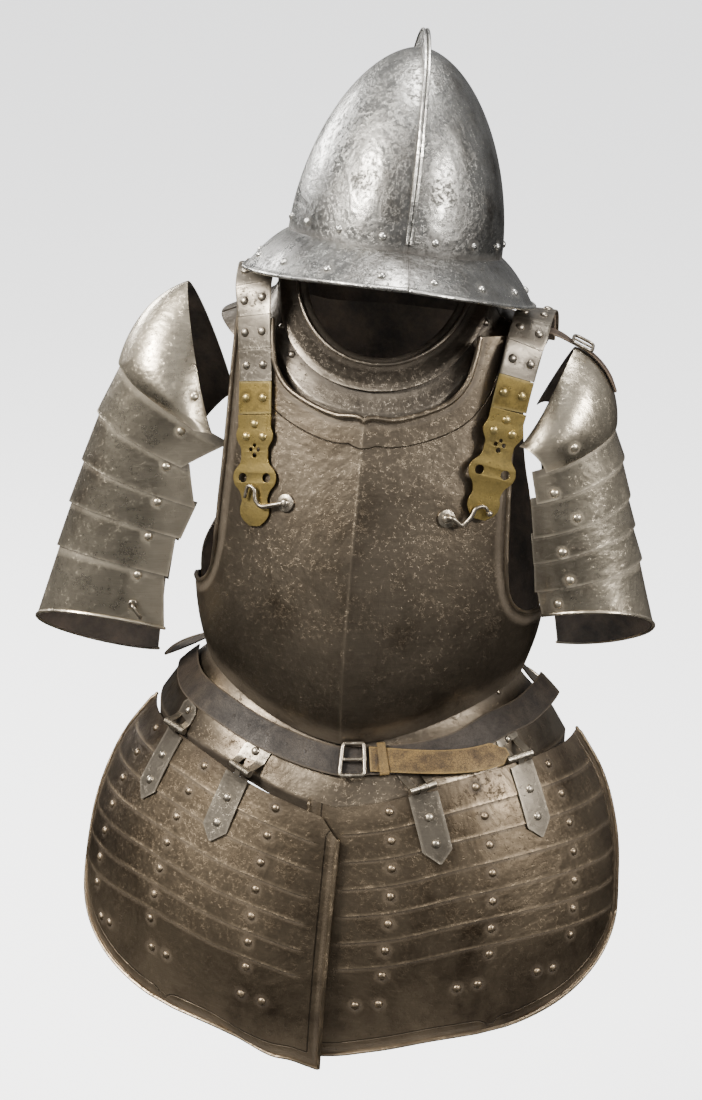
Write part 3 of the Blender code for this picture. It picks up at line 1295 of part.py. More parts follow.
purge()
MAIN = bpy.data.collections.new(NAME)
HELPERS = bpy.data.collections.new("helpers")
bpy.context.scene.collection.children.link(MAIN)
bpy.context.scene.collection.children.link(HELPERS)
main()
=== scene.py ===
# %% [markdown]
# # A suit of plate armour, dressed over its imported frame
#
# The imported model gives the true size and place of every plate. Each plate is made again here
# from the same tables on a much finer grid, with rolled edges, round rivet heads and worn steel.

# %% Load the frame
import math
import bpy
import numpy as np
from mathutils import Matrix, Vector


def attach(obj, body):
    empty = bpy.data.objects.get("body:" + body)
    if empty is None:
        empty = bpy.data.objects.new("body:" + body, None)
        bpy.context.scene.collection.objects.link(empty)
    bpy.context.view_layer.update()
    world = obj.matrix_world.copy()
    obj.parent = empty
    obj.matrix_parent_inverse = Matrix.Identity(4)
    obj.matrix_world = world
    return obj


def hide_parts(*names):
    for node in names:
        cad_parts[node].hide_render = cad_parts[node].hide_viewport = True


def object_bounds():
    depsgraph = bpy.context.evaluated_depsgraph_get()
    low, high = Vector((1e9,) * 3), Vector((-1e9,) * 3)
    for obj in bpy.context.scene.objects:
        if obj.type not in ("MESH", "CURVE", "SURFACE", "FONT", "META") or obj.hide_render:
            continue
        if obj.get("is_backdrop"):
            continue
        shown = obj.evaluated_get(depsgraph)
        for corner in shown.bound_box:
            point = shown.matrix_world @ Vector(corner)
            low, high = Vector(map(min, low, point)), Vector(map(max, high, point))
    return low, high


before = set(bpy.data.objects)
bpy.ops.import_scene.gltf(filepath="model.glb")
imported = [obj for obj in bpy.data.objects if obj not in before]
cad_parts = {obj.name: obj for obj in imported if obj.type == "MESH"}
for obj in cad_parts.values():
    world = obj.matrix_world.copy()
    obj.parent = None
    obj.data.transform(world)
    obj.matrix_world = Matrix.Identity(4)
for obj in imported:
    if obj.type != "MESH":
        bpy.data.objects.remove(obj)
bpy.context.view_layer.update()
suit_body = "suit"
thigh_body = {-1: "thigh_right", 1: "thigh_left"}
SIDES = ((-1, "right"), (1, "left"))

# %% [markdown]
# ## Sizes
#
# These numbers are those of the solids, in metres: walls, rivets, steps of the thigh plates,
# and the tables that give each plate's width and depth level by level.

# %% Sizes of walls, rivets and steps
BREAST_WALL = 0.0022
BACK_WALL = 0.0016
TASSET_WALL = 0.0015
FAULD_WALL = 0.0016
HELMET_WALL = 0.0016
LAME_WALL = 0.0013
GORGET_WALL = 0.0013
EDGE_ROLL = 0.0042
KEEL = 0.008
RIDGE_END = 0.46
WAIST_Z = -0.434
WAIST_RISE = 0.032
TASSET_END = math.radians(84.0)
NECK_ROLL = 0.0027
ARM_ROLL = 0.0022
FLANGE_ROLL = 0.0017
THIGH_ROLL = 0.0018
BRIM_ROLL = 0.0019
COLLAR_ROLL = 0.0022
# Rivet heads: radius and height
SKIRT_HEAD = (0.0034, 0.0024)
THIGH_HEAD = (0.0040, 0.0027)
ARM_HEAD = (0.0043, 0.0028)
NECK_HEAD = (0.0036, 0.0024)
SKULL_HEAD = (0.0036, 0.0026)
SCALE_HEAD = (0.0043, 0.0030)
LEAF_HEAD = (0.0035, 0.0030)
# Points inside the plates, which tell a wall its inner side
TRUNK_MID = (0, 0, -0.25)
SKIRT_MID = (0, 0, -0.40)
THIGH_MID = (0, 0.05, -0.5)
NECK_MID = (0, 0, -0.12)
STEP_PITCH = 0.0259
STEP_RISE = 0.0014
STEPS = 6

# %% Tables of the trunk, the breastplate, the backplate and the skirt lame
# Trunk: level, half width, depth in front, depth behind. Breastplate's neck and arm edges: share
# of the way down, distance from the middle, level. Backplate: share of the way down, then level
# or the angle that it reaches round. Skirt lame: angle from the front, level of its edge.
TRUNK = [
    (0.02, 0.150, 0.020, 0.060),
    (0.00, 0.155, 0.034, 0.074),
    (-0.03, 0.160, 0.058, 0.088),
    (-0.06, 0.164, 0.076, 0.096),
    (-0.095, 0.167, 0.091, 0.101),
    (-0.128, 0.169, 0.103, 0.104),
    (-0.18, 0.172, 0.123, 0.106),
    (-0.25, 0.176, 0.147, 0.108),
    (-0.32, 0.177, 0.164, 0.104),
    (-0.37, 0.171, 0.171, 0.098),
    (-0.405, 0.161, 0.170, 0.092),
    (-0.435, 0.152, 0.163, 0.088),
    (-0.46, 0.150, 0.160, 0.086)]
BREAST_IN = [
    (0.00, 0.097, -0.050), (0.08, 0.094, -0.072), (0.16, 0.089, -0.090),
    (0.24, 0.076, -0.106), (0.32, 0.053, -0.1165), (0.40, 0.027, -0.1225),
    (0.46, 0.0, -0.1245), (0.53, 0.0, -0.170), (0.60, 0.0, -0.225), (0.66, 0.0, -0.278),
    (0.72, 0.0, -0.325), (0.78, 0.0, -0.352), (0.90, 0.0, -0.395), (1.00, 0.0, -0.434)]
BREAST_OUT = [
    (0.00, 0.132, -0.050), (0.16, 0.134, -0.100), (0.32, 0.135, -0.160),
    (0.46, 0.137, -0.215), (0.58, 0.141, -0.272), (0.66, 0.151, -0.308),
    (0.72, 0.168, -0.330)]
BACK_MID = [(0, -0.046), (0.3, -0.15), (0.6, -0.28), (0.86, -0.405), (1, -0.452)]
BACK_SIDE = [(0, -0.058), (0.3, -0.15), (0.6, -0.318), (0.86, -0.400), (1, -0.440)]
BACK_TURN = [
    (0, 52.0), (0.15, 53.0), (0.3, 53.0), (0.45, 57.0), (0.54, 68.0), (0.6, 90.0), (0.64, 93.5),
    (0.72, 93.5), (0.78, 88.5), (1, 87.0)]
FLANGE_AT = 0.885
FAULD_EDGE = [
    (0.0, -0.4860), (12.0, -0.4785), (25.0, -0.4670), (45.0, -0.4600), (62.0, -0.4625),
    (80.0, -0.4680), (95.0, -0.4690)]
FAULD_W = 0.2080
FAULD_F = 0.1985

# %% Tables of the thigh plates
# Share of the way down, half width, depth, middle's y. Rivet columns: shares at top and bottom.
TASSET = [
    (0.00, 0.2165, 0.2020, 0.000),
    (0.15, 0.2430, 0.2050, -0.010),
    (0.35, 0.2630, 0.1980, -0.032),
    (0.60, 0.2710, 0.1850, -0.060),
    (0.80, 0.2715, 0.1760, -0.074),
    (1.00, 0.2690, 0.1690, -0.082)]
TASSET_X = 0.004
TASSET_OVER = 0.0084
TASSET_CUT = 0.072
TASSET_TOP = {
    -1: [(0.0, -0.0075), (0.06, -0.0062), (0.17, -0.0040), (0.29, -0.0060), (0.44, -0.0050),
         (0.62, -0.0040), (1.0, -0.0040)],
    1: [(0.0, 0.0030), (0.12, 0.0030), (0.25, 0.0030), (0.40, 0.0055), (0.6, 0.0070),
        (1.0, 0.0070)]}
STEP_TOP = 0.0250
TASSET_COLS = (
    ((0.187, 0.195), (0.452, 0.517), (0.761, 0.798)),
    ((0.220, 0.190), (0.463, 0.455), (0.735, 0.705)))
TASSET_LEN = 0.2480

# %% Tables of the arm rings
# Middle's x and level, tilt in degrees, half width, half depth, rise in front. Then how far each
# ring spreads inward in front, the end angles of each plate and its front rivet's two shares.
ARM_RIGHT = [
    (0.1560, -0.1650, 74.0, 0.1340, 0.0640, 0.0000),
    (0.2120, -0.1740, 46.0, 0.0638, 0.0610, 0.0255),
    (0.2250, -0.2135, 34.5, 0.0625, 0.0610, 0.0225),
    (0.2345, -0.2545, 23.0, 0.0620, 0.0610, 0.0225),
    (0.2438, -0.2965, 16.8, 0.0633, 0.0610, 0.0275),
    (0.2534, -0.3418, 13.2, 0.0647, 0.0610, 0.0290),
    (0.2690, -0.4150, 4.0, 0.0680, 0.0620, 0.0440)]
ARM_LEFT = [
    (0.1500, -0.1500, 66.0, 0.0896, 0.0640, 0.0000),
    (0.1755, -0.1740, 27.0, 0.0612, 0.0610, -0.0010),
    (0.1833, -0.2010, 22.5, 0.0612, 0.0610, -0.0010),
    (0.1920, -0.2385, 22.0, 0.0612, 0.0610, 0.0030),
    (0.1992, -0.2685, 22.0, 0.0612, 0.0610, 0.0080),
    (0.2080, -0.3010, 20.0, 0.0612, 0.0610, 0.0110),
    (0.2230, -0.3590, 8.7, 0.0605, 0.0620, 0.0440)]
ARM_Y = -0.004
LAME_FLARE = 0.0035
ARM_SPREAD = {
    -1: (0.006, 0.030, 0.024, 0.024, 0.021, 0.020, 0.024),
    1: (0.014, 0.004, 0.000, 0.000, 0.000, 0.005, 0.012)}
ARM_TOP_END = {-1: (4, 46, 30, 40, 34, 32), 1: (3, 15, 25, 32, 36, 34)}
ARM_LOW_END = {-1: (24, 24, 38, 36, 34, 38), 1: (4, 18, 28, 34, 34, 32)}
ARM_RIVET = {
    -1: ((0.13, 0.12), (0.09, 0.32), (0.07, 0.3), (0.09, 0.3), (0.07, 0.3), (0.07, 0.25)),
    1: ((0.15, 0.78), (0.08, 0.8), (0.18, 0.75), (0.12, 0.78), (0.13, 0.8), (0.06, 0.67))}

# %% Tables of the shoulder straps
# Points of each strap's middle from behind to the tip; a tip's half width by the distance down;
# hooks: side, place of the stud on the breastplate, then points of the wire.
STRAP_RIGHT = [
    (0.128, 0.092, -0.110), (0.128, 0.087, -0.080), (0.128, 0.070, -0.052),
    (0.127, 0.042, -0.033), (0.126, 0.012, -0.020), (0.124, -0.013, -0.016),
    (0.122, -0.034, -0.025), (0.118, -0.049, -0.043), (0.115, -0.060, -0.066),
    (0.111, -0.070, -0.095), (0.108, -0.082, -0.128), (0.103, -0.100, -0.180),
    (0.097, -0.121, -0.244)]
STRAP_LEFT = [
    (0.146, 0.091, -0.118), (0.146, 0.086, -0.090), (0.146, 0.071, -0.066),
    (0.146, 0.043, -0.051), (0.146, 0.012, -0.043), (0.145, -0.013, -0.041),
    (0.144, -0.034, -0.045), (0.141, -0.050, -0.056), (0.138, -0.061, -0.073),
    (0.134, -0.070, -0.095), (0.129, -0.080, -0.128), (0.119, -0.097, -0.180),
    (0.112, -0.110, -0.219)]
STRAP_DIP = (0.10, 0.26)
STRAP_W = 0.037
SCALE_PITCH = 0.0312
TIP_LEN = 0.112
STRAP_TURN = math.radians(24.0)
TIP = [
    (0.000, 0.0185), (0.0125, 0.0180), (0.016, 0.0205), (0.022, 0.0208), (0.0265, 0.0185),
    (0.031, 0.0150), (0.044, 0.0150), (0.0485, 0.0175), (0.0525, 0.0225), (0.060, 0.0245),
    (0.0675, 0.0225), (0.0715, 0.0175), (0.077, 0.0150), (0.083, 0.0140), (0.088, 0.0165),
    (0.096, 0.0160), (0.102, 0.0115), (0.106, 0.0045)]
HOOKS = (
    (-1, 0.0690, -0.2100, ((-0.0230, 0.0855, 0.0070), (-0.0080, 0.0860, 0.0078), (-0.0040, 0.0810, 0.0085),
                           (-0.0025, 0.0700, 0.0090), (0.0030, 0.0675, 0.0090), (0.0080, 0.0780, 0.0085))),
    (1, 0.0835, -0.2120, ((-0.0290, 0.1110, 0.0060), (-0.0170, 0.1150, 0.0070), (-0.0110, 0.1060, 0.0085),
                          (-0.0080, 0.0960, 0.0092), (-0.0010, 0.0930, 0.0092), (0.0060, 0.0980, 0.0085))))

# %% Sizes of the helmet, the belt and the hinges
# Brim: angle from the front, reach, drop. Belt: angle from the front, level. Hinges: angles from
# the front, and how far each barrel stands above the skirt lame's edge.
SKULL_W = 0.1014
SKULL_L = 0.1198
SKULL_H = 0.1832
SKULL_N = 1.80
COMB_H = 0.0150
HEAD_AT = (0.0111, -0.0355, 0.0290)
HEAD_YAW = math.radians(11.4)
HEAD_PITCH = math.radians(-11.1)
HEAD_ROLL = math.radians(6.0)
BRIM = [
    (0.0, 0.050, 0.031), (25.0, 0.046, 0.034), (50.0, 0.040, 0.039), (75.0, 0.037, 0.042),
    (90.0, 0.037, 0.043), (110.0, 0.038, 0.042), (135.0, 0.042, 0.036), (160.0, 0.047, 0.030),
    (180.0, 0.049, 0.029)]
BELT_OFF = 0.0050
BELT_HALF = 0.0145
BELT = [
    (-95.0, -0.4300), (-70.0, -0.4290), (-45.0, -0.4300), (-20.0, -0.4420), (-10.0, -0.4465),
    (0.0, -0.4492), (10.0, -0.4480), (20.0, -0.4455), (36.0, -0.4390), (52.0, -0.4285),
    (70.0, -0.4290), (95.0, -0.4300)]
HINGE_AT = {-1: (26.4, 53.5), 1: (22.3, 51.3)}
HINGE_UP = {-1: (0.0020, 0.0030), 1: (0.0088, 0.0125)}
HINGE_W = 0.028
HINGE_R = 0.0036
HINGE_OFF = 0.0080
LEAF_RIVET = {(-1, 0): (0.0128,), (-1, 1): (0.0128,), (1, 0): (), (1, 1): (0.0080,)}
ARM_STRAP_START = ((0.158, -0.0555), (0.172, -0.0600))
ARM_STRAP_DOWN = (0.02, 0.14, 0.28, 0.42, 0.56, 0.70)

# %% [markdown]
# ## Surfaces
#
# Each plate is a function of two numbers that returns points. A smooth read through a table's
# rows keeps the curves round however fine the grid is.

# %% Reading a table smoothly
def column(table, x, col):
    """Smooth read of one column of a table at x, through its rows."""
    rows = np.asarray(sorted(table, key=lambda r: r[0]), float)
    xs = rows[:, 0]
    y = rows[:, col]
    x = np.clip(np.asarray(x, float), xs[0], xs[-1])
    i = np.clip(np.searchsorted(xs, x, side="right") - 1, 0, len(xs) - 2)
    slope = np.gradient(y, xs)
    h = xs[i + 1] - xs[i]
    u = (x - xs[i]) / h
    a = (2 * u ** 3 - 3 * u ** 2 + 1) * y[i] + (3 * u ** 2 - 2 * u ** 3) * y[i + 1]
    b = (u ** 3 - 2 * u ** 2 + u) * slope[i] + (u ** 3 - u ** 2) * slope[i + 1]
    return a + b * h


def ease(t):
    """Smooth step from 0 to 1."""
    t = np.clip(t, 0.0, 1.0)
    return t * t * (3.0 - 2.0 * t)


def mirror(side):
    """Factors that turn a point of the left half into one of the given side."""
    return np.array([side, 1.0, 1.0])


MIRROR = mirror(-1.0)


def keel_at(sine):
    """How far the medial ridge stands out, by the sine of the angle from the front."""
    return KEEL * (1.0 - np.abs(sine)) ** 3


def fade(x, reach):
    """1 where x is 0, falling evenly to 0 at its reach."""
    return np.clip(1 - x / reach, 0, 1)


def grow(x, reach):
    """0 where x is 0, rising evenly to 1 at its reach."""
    return np.clip(x / reach, 0, 1)


# %% Trunk, breastplate, skirt lame and backplate
def trunk(phi, z, inset=0.0):
    """Point of the trunk at angle phi from the front, level z, moved in by inset."""
    w = column(TRUNK, z, 1) - inset
    f = column(TRUNK, z, 2) - inset
    b = column(TRUNK, z, 3) - inset
    s, c = np.sin(phi), np.cos(phi)
    keel = keel_at(s) * (c > 0)
    y = np.where(c >= 0, -(f * c + keel), -b * c)
    return np.stack([w * s, y, z + 0 * s], -1)


def waist(phi):
    """Level of the breastplate's lower edge at angle phi."""
    return WAIST_Z + WAIST_RISE * ease(np.abs(phi) / math.radians(65.0))


def breast_point(s, t, inset=0.0):
    """Half of the breastplate: s from the centre line out, t from the top down."""
    zi = column(BREAST_IN, t, 2)
    xi = column(BREAST_IN, t, 1)
    zo = column(BREAST_OUT, t, 2)
    xo = column(BREAST_OUT, t, 1)
    pi_ = np.arcsin(np.clip(xi / column(TRUNK, zi, 1), 0, 1))
    pi_ = np.where(t >= RIDGE_END, 0.0, pi_)
    po = np.arcsin(np.clip(xo / column(TRUNK, zo, 1), 0, 1))
    side = math.radians(92.0)
    k = ease((t - 0.70) / 0.07)
    po = po * (1 - k) + side * k
    zs = -0.330 + (-0.402 + 0.330) * grow(t - 0.72, 0.28)
    zo = np.where(t > 0.72, zs, zo)
    phi = pi_ + (po - pi_) * s
    z = zi + (zo - zi) * s
    fit = grow(t - 0.6, 0.4) ** 2
    z = z + fit * (waist(phi) - (waist(0.0) + (waist(side) - waist(0.0)) * s))
    length = np.hypot(0.165 * (po - pi_), zo - zi)
    neck = fade(s * length, 0.006) * grow(0.467 - t, 0.007)
    arm = fade((1 - s) * length, 0.006) * grow(0.63 - t, 0.08)
    return trunk(phi, z, inset - EDGE_ROLL * (neck + arm))


def fauld_edge(phi):
    """Level of the skirt lame's lower edge."""
    return column(FAULD_EDGE, np.degrees(np.abs(phi)), 1)


def fauld_point(phi, t, lift=0.0):
    """Skirt lame: t 0 tucked under the breastplate, 1 at its bend, beyond it behind the thigh plates."""
    zt = waist(phi) + 0.012
    zb = fauld_edge(phi)
    z = zt + (zb - zt) * t
    g = ease((t - 0.22) / 0.50) * 0.25 + 0.75 * grow(t - 0.22, 0.78)
    zc = np.maximum(z, waist(phi) - 0.004)
    wt = column(TRUNK, zc, 1) - 0.0044
    ft = column(TRUNK, zc, 2) - 0.0044
    w = wt + (FAULD_W - wt) * g + lift
    f = ft + (FAULD_F - ft) * g + lift
    s, c = np.sin(phi), np.cos(phi)
    keel = keel_at(s)
    return np.stack([w * s, -(f * c + keel), z], -1)


def back_point(side, s, t):
    """Half of the backplate on one side: s from the spine out, t from the top down to the flange."""
    z_mid = column(BACK_MID, t, 1)
    z_out = column(BACK_SIDE, t, 1)
    a = np.radians(column(BACK_TURN, t, 1)) * s
    z = z_mid + (z_out - z_mid) * ease(s)
    reach = 0.058 if side < 0 else 0.058 - 0.024 * ease(s)
    flare = reach * grow(t - FLANGE_AT, 0.115) ** 1.1
    tuck = 0.0042 * ease((np.degrees(a) - 60) / 20) * grow(1.0 - t, 0.1)
    p = trunk(math.pi - a, z, 0.0)
    w = column(TRUNK, z, 1) - tuck + flare
    b = column(TRUNK, z, 3) + flare
    f = column(TRUNK, z, 2) - tuck
    y = np.where(np.cos(a) >= 0, b * np.cos(a), f * np.cos(a))
    return np.stack([side * w * np.sin(a), y, p[..., 2]], -1)


# %% Thigh plates and arm plates
def tasset_point(side, u, h):
    """Thigh plate: u from the middle of the body outward, h from its hinge edge down."""
    over = 1.0 if side < 0 else 0.0
    h = h + over * TASSET_CUT * grow(0.055 - u, 0.055) * fade(h, 0.12)
    inner = -0.006 + 0.004 * h if side < 0 else -0.026 - 0.002 * h
    w = column(TASSET, h, 1)
    f = column(TASSET, h, 2)
    y0 = column(TASSET, h, 3)
    c = grow(h - 0.66, 0.34)
    x_end = w * math.sin(TASSET_END) - 0.118 * (1 - np.sqrt(np.clip(1 - c ** 2, 0, 1)))
    a_in = np.arcsin(inner / w)
    a_end = np.arcsin(x_end / w)
    a = a_in + (a_end - a_in) * u
    flat = 0.055 if side < 0 else 0.085
    soft = 0.030 if side < 0 else 0.015
    band = grow(u - flat, soft) * grow(0.965 - u, 0.03)
    d = (h * TASSET_LEN - STEP_TOP) / STEP_PITCH + 1.0
    rise = np.where(d < STEPS - 1e-6, np.mod(d, 1.0), 0.0) * STEP_RISE * band
    edge = np.maximum(fade(u, 0.02), grow(u - 0.98, 0.02))
    edge = np.maximum(edge, grow(h - 0.98, 0.02))
    out = rise + 0.0016 * edge * (h > 0.01) + over * TASSET_OVER * ease((0.55 - u) / 0.35)
    sn, cs = np.sin(a), np.cos(a)
    z = fauld_edge(a) + column(TASSET_TOP[side], u, 1) - TASSET_LEN * h
    keel = keel_at(sn) * (1 - h)
    return np.stack([TASSET_X + side * (w + out) * sn, y0 - (f + out) * cs - keel, z], -1)


def arm_ring(side, k, al):
    """Point of arm ring k at angle al: 0 to the front, 90 degrees outward."""
    rows = ARM_RIGHT if side < 0 else ARM_LEFT
    spread = ARM_SPREAD[side][k] * np.clip((30.0 - np.degrees(al)) / 64.0, 0, 1.6) ** 1.5
    spread = spread * (np.degrees(al) < 90.0)
    cx, cz, tilt, a, b, rise = rows[k]
    tilt = math.radians(tilt)
    sn, cs = np.sin(al), np.cos(al)
    if k == 0:
        sn = np.sign(sn) * np.abs(sn) ** 1.35
        cs = np.sign(cs) * np.abs(cs) ** 1.35
    x = cx + a * sn * math.cos(tilt) - spread
    y = ARM_Y - b * cs
    z = cz + a * sn * math.sin(tilt) + rise * cs
    return np.stack([x, y, z], -1)


def lame_point(side, k, u, v, lift=0.0):
    """Arm plate k (0 at the shoulder): u front to back, v from its upper to lower edge."""
    rows = ARM_RIGHT if side < 0 else ARM_LEFT
    ra = math.radians(ARM_TOP_END[side][k])
    rb = math.radians(ARM_LOW_END[side][k])
    r = ra + (rb - ra) * v
    al = -r + (math.pi + 2 * r) * u
    t0 = -0.16 if k > 0 else 0.0
    t = t0 + (1 - t0) * v
    upper = arm_ring(side, k, al)
    p = upper + (arm_ring(side, k + 1, al) - upper) * t[..., None]
    c = np.array([0.5 * (rows[k][0] + rows[k + 1][0]), ARM_Y, 0.5 * (rows[k][1] + rows[k + 1][1])])
    swell = LAME_FLARE * np.clip(v, 0, 1) + lift
    if k == 0:
        swell = swell + 0.016 * np.sin(math.pi * np.clip(v, 0, 1)) ** 0.9
        c = c + np.array([-0.02, 0.0, -0.04])
    n = p - c
    n = n / np.linalg.norm(n, axis=-1, keepdims=True)
    if k > 0:
        axis = np.array([rows[k + 1][0] - rows[k][0], 0.0, rows[k + 1][1] - rows[k][1]])
        axis = axis / np.linalg.norm(axis)
        n = n - (n @ axis)[..., None] * axis
        n = n / np.linalg.norm(n, axis=-1, keepdims=True)
    p = p + n * swell[..., None]
    return p * mirror(side)


# %% Helmet
def head_turn():
    """Matrix that sets the helmet on the shoulders."""
    m = Matrix.Translation(Vector(HEAD_AT)) @ Matrix.Rotation(HEAD_YAW, 4, "Z")
    return m @ Matrix.Rotation(HEAD_ROLL, 4, "Y") @ Matrix.Rotation(HEAD_PITCH, 4, "X")


def skull_point(side, az, v):
    """Skull of the helmet, az 0 at the front to pi behind, v 0 at the rim to 1 at the top."""
    e = v * math.pi / 2
    c = np.clip(np.cos(e), 0, 1) ** (2.0 / SKULL_N)
    q = np.clip(np.sin(e), 0, 1) ** (2.0 / SKULL_N)
    x = SKULL_W * c * np.sin(az)
    y = -SKULL_L * c * np.cos(az)
    z = SKULL_H * q
    return np.stack([side * x, y, z], -1)


def brim_point(side, az, v):
    """Brim, v 0 at the crease of the skull to 1 at its outer edge."""
    reach = column(BRIM, np.degrees(az), 1)
    drop = column(BRIM, np.degrees(az), 2)
    hx, hy = np.sin(az), -np.cos(az)
    x = SKULL_W * np.sin(az) + reach * v * hx
    y = -SKULL_L * np.cos(az) + reach * v * hy
    z = -drop * (0.55 * v + 0.45 * v * v) + 0.002 * grow(v - 0.9, 0.1)
    return np.stack([side * x, y, z], -1)


# %% Neck rings
def ring_rows(rx, ryf, ryb, zf, rise, zb):
    """Rows of an oval ring that climbs from the front to the sides and eases behind."""
    rows = []
    for d in range(0, 181, 15):
        a = math.radians(d)
        c = math.cos(a)
        y = -ryf * c if c >= 0 else -ryb * c
        z = zf + rise * (1 - c) if c >= 0 else zf + rise + (zb - zf - rise) * -c
        rows.append((float(d), rx * math.sin(a), y, z))
    return rows


GORGET = [
    ring_rows(0.076, 0.057, 0.060, -0.080, 0.072, -0.002),
    ring_rows(0.085, 0.065, 0.068, -0.087, 0.075, -0.004),
    ring_rows(0.100, 0.082, 0.082, -0.101, 0.083, -0.014),
    [(0.0, 0.0, -0.0975, -0.122), (15.0, 0.027, -0.0955, -0.120), (30.0, 0.055, -0.0885, -0.114),
     (45.0, 0.077, -0.0735, -0.100), (60.0, 0.094, -0.054, -0.078), (75.0, 0.106, -0.028, -0.057),
     (90.0, 0.112, 0.0, -0.045), (105.0, 0.111, 0.026, -0.042), (120.0, 0.103, 0.050, -0.042),
     (135.0, 0.085, 0.068, -0.043), (150.0, 0.060, 0.079, -0.044), (165.0, 0.031, 0.085, -0.045),
     (180.0, 0.0, 0.087, -0.045)],
    [(0.0, 0.0, -0.1065, -0.146), (15.0, 0.033, -0.1035, -0.143), (30.0, 0.066, -0.0925, -0.135),
     (45.0, 0.091, -0.0735, -0.116), (60.0, 0.118, -0.050, -0.090), (75.0, 0.146, -0.028, -0.075),
     (90.0, 0.160, 0.0, -0.066), (105.0, 0.153, 0.028, -0.064), (120.0, 0.128, 0.052, -0.065),
     (135.0, 0.092, 0.065, -0.060), (150.0, 0.064, 0.074, -0.066), (165.0, 0.033, 0.083, -0.068),
     (180.0, 0.0, 0.086, -0.068)]]


def gorget_ring(k, az):
    """Ring k of the neck plates: 0 inner turn, 1 rim, 2 roll, 3 neckline, 4 hidden edge."""
    rows = GORGET[k]
    d = np.degrees(np.abs(az))
    x = column(rows, d, 1) * np.sign(az + 1e-9)
    y = column(rows, d, 2)
    z = column(rows, d, 3)
    return np.stack([x, y, z], -1)


# %% Shoulder strap, belt and hinge frames
def strap_frame(side, s):
    """Centre, run, width and face directions of a shoulder strap at s metres from behind."""
    pts = np.array(STRAP_RIGHT if side < 0 else STRAP_LEFT) * mirror(side)
    step = np.linalg.norm(np.diff(pts, axis=0), axis=1)
    at = np.r_[0, np.cumsum(step)]
    tab = [(at[i], *pts[i]) for i in range(len(at))]
    p = np.array([column(tab, s, c) for c in (1, 2, 3)], float)
    q = np.array([column(tab, s + 0.002, c) for c in (1, 2, 3)], float)
    o = np.array([column(tab, s - 0.002, c) for c in (1, 2, 3)], float)
    run = (q - o) / np.linalg.norm(q - o)
    front = float(grow(s - 0.12, 0.09))
    beta = STRAP_TURN * front
    dip = STRAP_DIP[0 if side < 0 else 1] * front
    wide = np.array([side * math.cos(beta), math.sin(beta), -dip])
    wide = wide - run * np.dot(wide, run)
    wide = wide / np.linalg.norm(wide)
    face = np.cross(wide, run)
    if np.dot(face, p - np.array([p[0], 0.0, -0.14])) < 0:
        face = -face
    return p, run, wide, face, at[-1]


def tip_frame(side):
    """Top middle of a strap tip with its run, width and face directions."""
    s = strap_frame(side, 0.1)[4] - 0.1125
    p, run, wide, face, total = strap_frame(side, s + 0.0005)
    q = strap_frame(side, s + 0.095)[0]
    run = (q - p) / np.linalg.norm(q - p)
    wide = wide - run * np.dot(wide, run)
    wide = wide / np.linalg.norm(wide)
    face = np.cross(wide, run)
    if face[1] > 0:
        face = -face
    return p, run, wide, face


def skirt_spot(phi, z, off):
    """Point off the skirt lame at an angle and level, moved out along its normal."""
    def at(a, level):
        top = waist(a) + 0.012
        return fauld_point(a, (level - top) / (fauld_edge(a) - top))
    p = at(phi, z)
    n = np.cross(at(phi + 0.004, z) - at(phi - 0.004, z), at(phi, z + 0.0006) - at(phi, z - 0.0006))
    n = n / np.linalg.norm(n)
    if n[0] * p[0] + n[1] * p[1] < 0:
        n = -n
    return p + n * off


def belt_point(phi, up, off):
    """Belt frame round the waist: angle from the front, height on its straight width, standoff."""
    z = float(column(BELT, math.degrees(phi), 1))
    side = [skirt_spot(np.float64(phi), np.float64(z + k * BELT_HALF), 0.0)
            for k in (-1, -0.5, 0, 0.5, 1)]
    tall = side[-1] - side[0]
    tall = tall / np.linalg.norm(tall)
    around = np.array([math.cos(phi), math.sin(phi), 0.0])
    face = np.cross(around, tall)
    face = face / np.linalg.norm(face)
    if face[0] * side[2][0] + face[1] * side[2][1] < 0:
        face = -face
    mid = (side[0] + side[-1]) / 2
    bump = max(0.0, max(np.dot(q - mid, face) for q in side))
    away = 0.012 * float(ease((math.degrees(phi) - 62.0) / 26.0))
    return mid + tall * up + face * (bump + off + away)


def hinge_spot(side, deg):
    """Middle of a hinge barrel: on the skirt lame's edge, standing off its face."""
    a = math.radians(deg)
    p = fauld_point(np.float64(a), np.float64(1.0), HINGE_OFF)
    up = HINGE_UP[side][HINGE_AT[side].index(deg)]
    return np.array([side * p[0] + 0.6 * TASSET_X, p[1], p[2] + up])


def hinge_line(side):
    """A point on a thigh plate's hinge axis and the axis direction, toward the wearer's left."""
    p, q = (hinge_spot(side, d) for d in HINGE_AT[side])
    if side < 0:
        p, q = q, p
    return p, (q - p) / np.linalg.norm(q - p)


def leaf_seat(side, t, level, low):
    """Where a hinge leaf lies on its plate, at an angle and a level."""
    if not low:
        return skirt_spot(np.float64(t), np.float64(level), 0.0018) * mirror(side)
    share = leaf_share(side, t, 0.0)
    top = float(fauld_edge(t)) + float(column(TASSET_TOP[side], share, 1))
    h = max(top - level, 0.0) / TASSET_LEN
    over = TASSET_OVER * float(ease((0.55 - share) / 0.35)) if side < 0 else 0.0
    w = float(column(TASSET, h, 1)) + 0.0019 + STEP_RISE + over
    f = float(column(TASSET, h, 2)) + 0.0019 + STEP_RISE + over
    keel = keel_at(math.sin(t)) * (1 - h)
    y = float(column(TASSET, h, 3)) - f * math.cos(t) - keel
    return np.array([TASSET_X + side * w * math.sin(t), y, level])


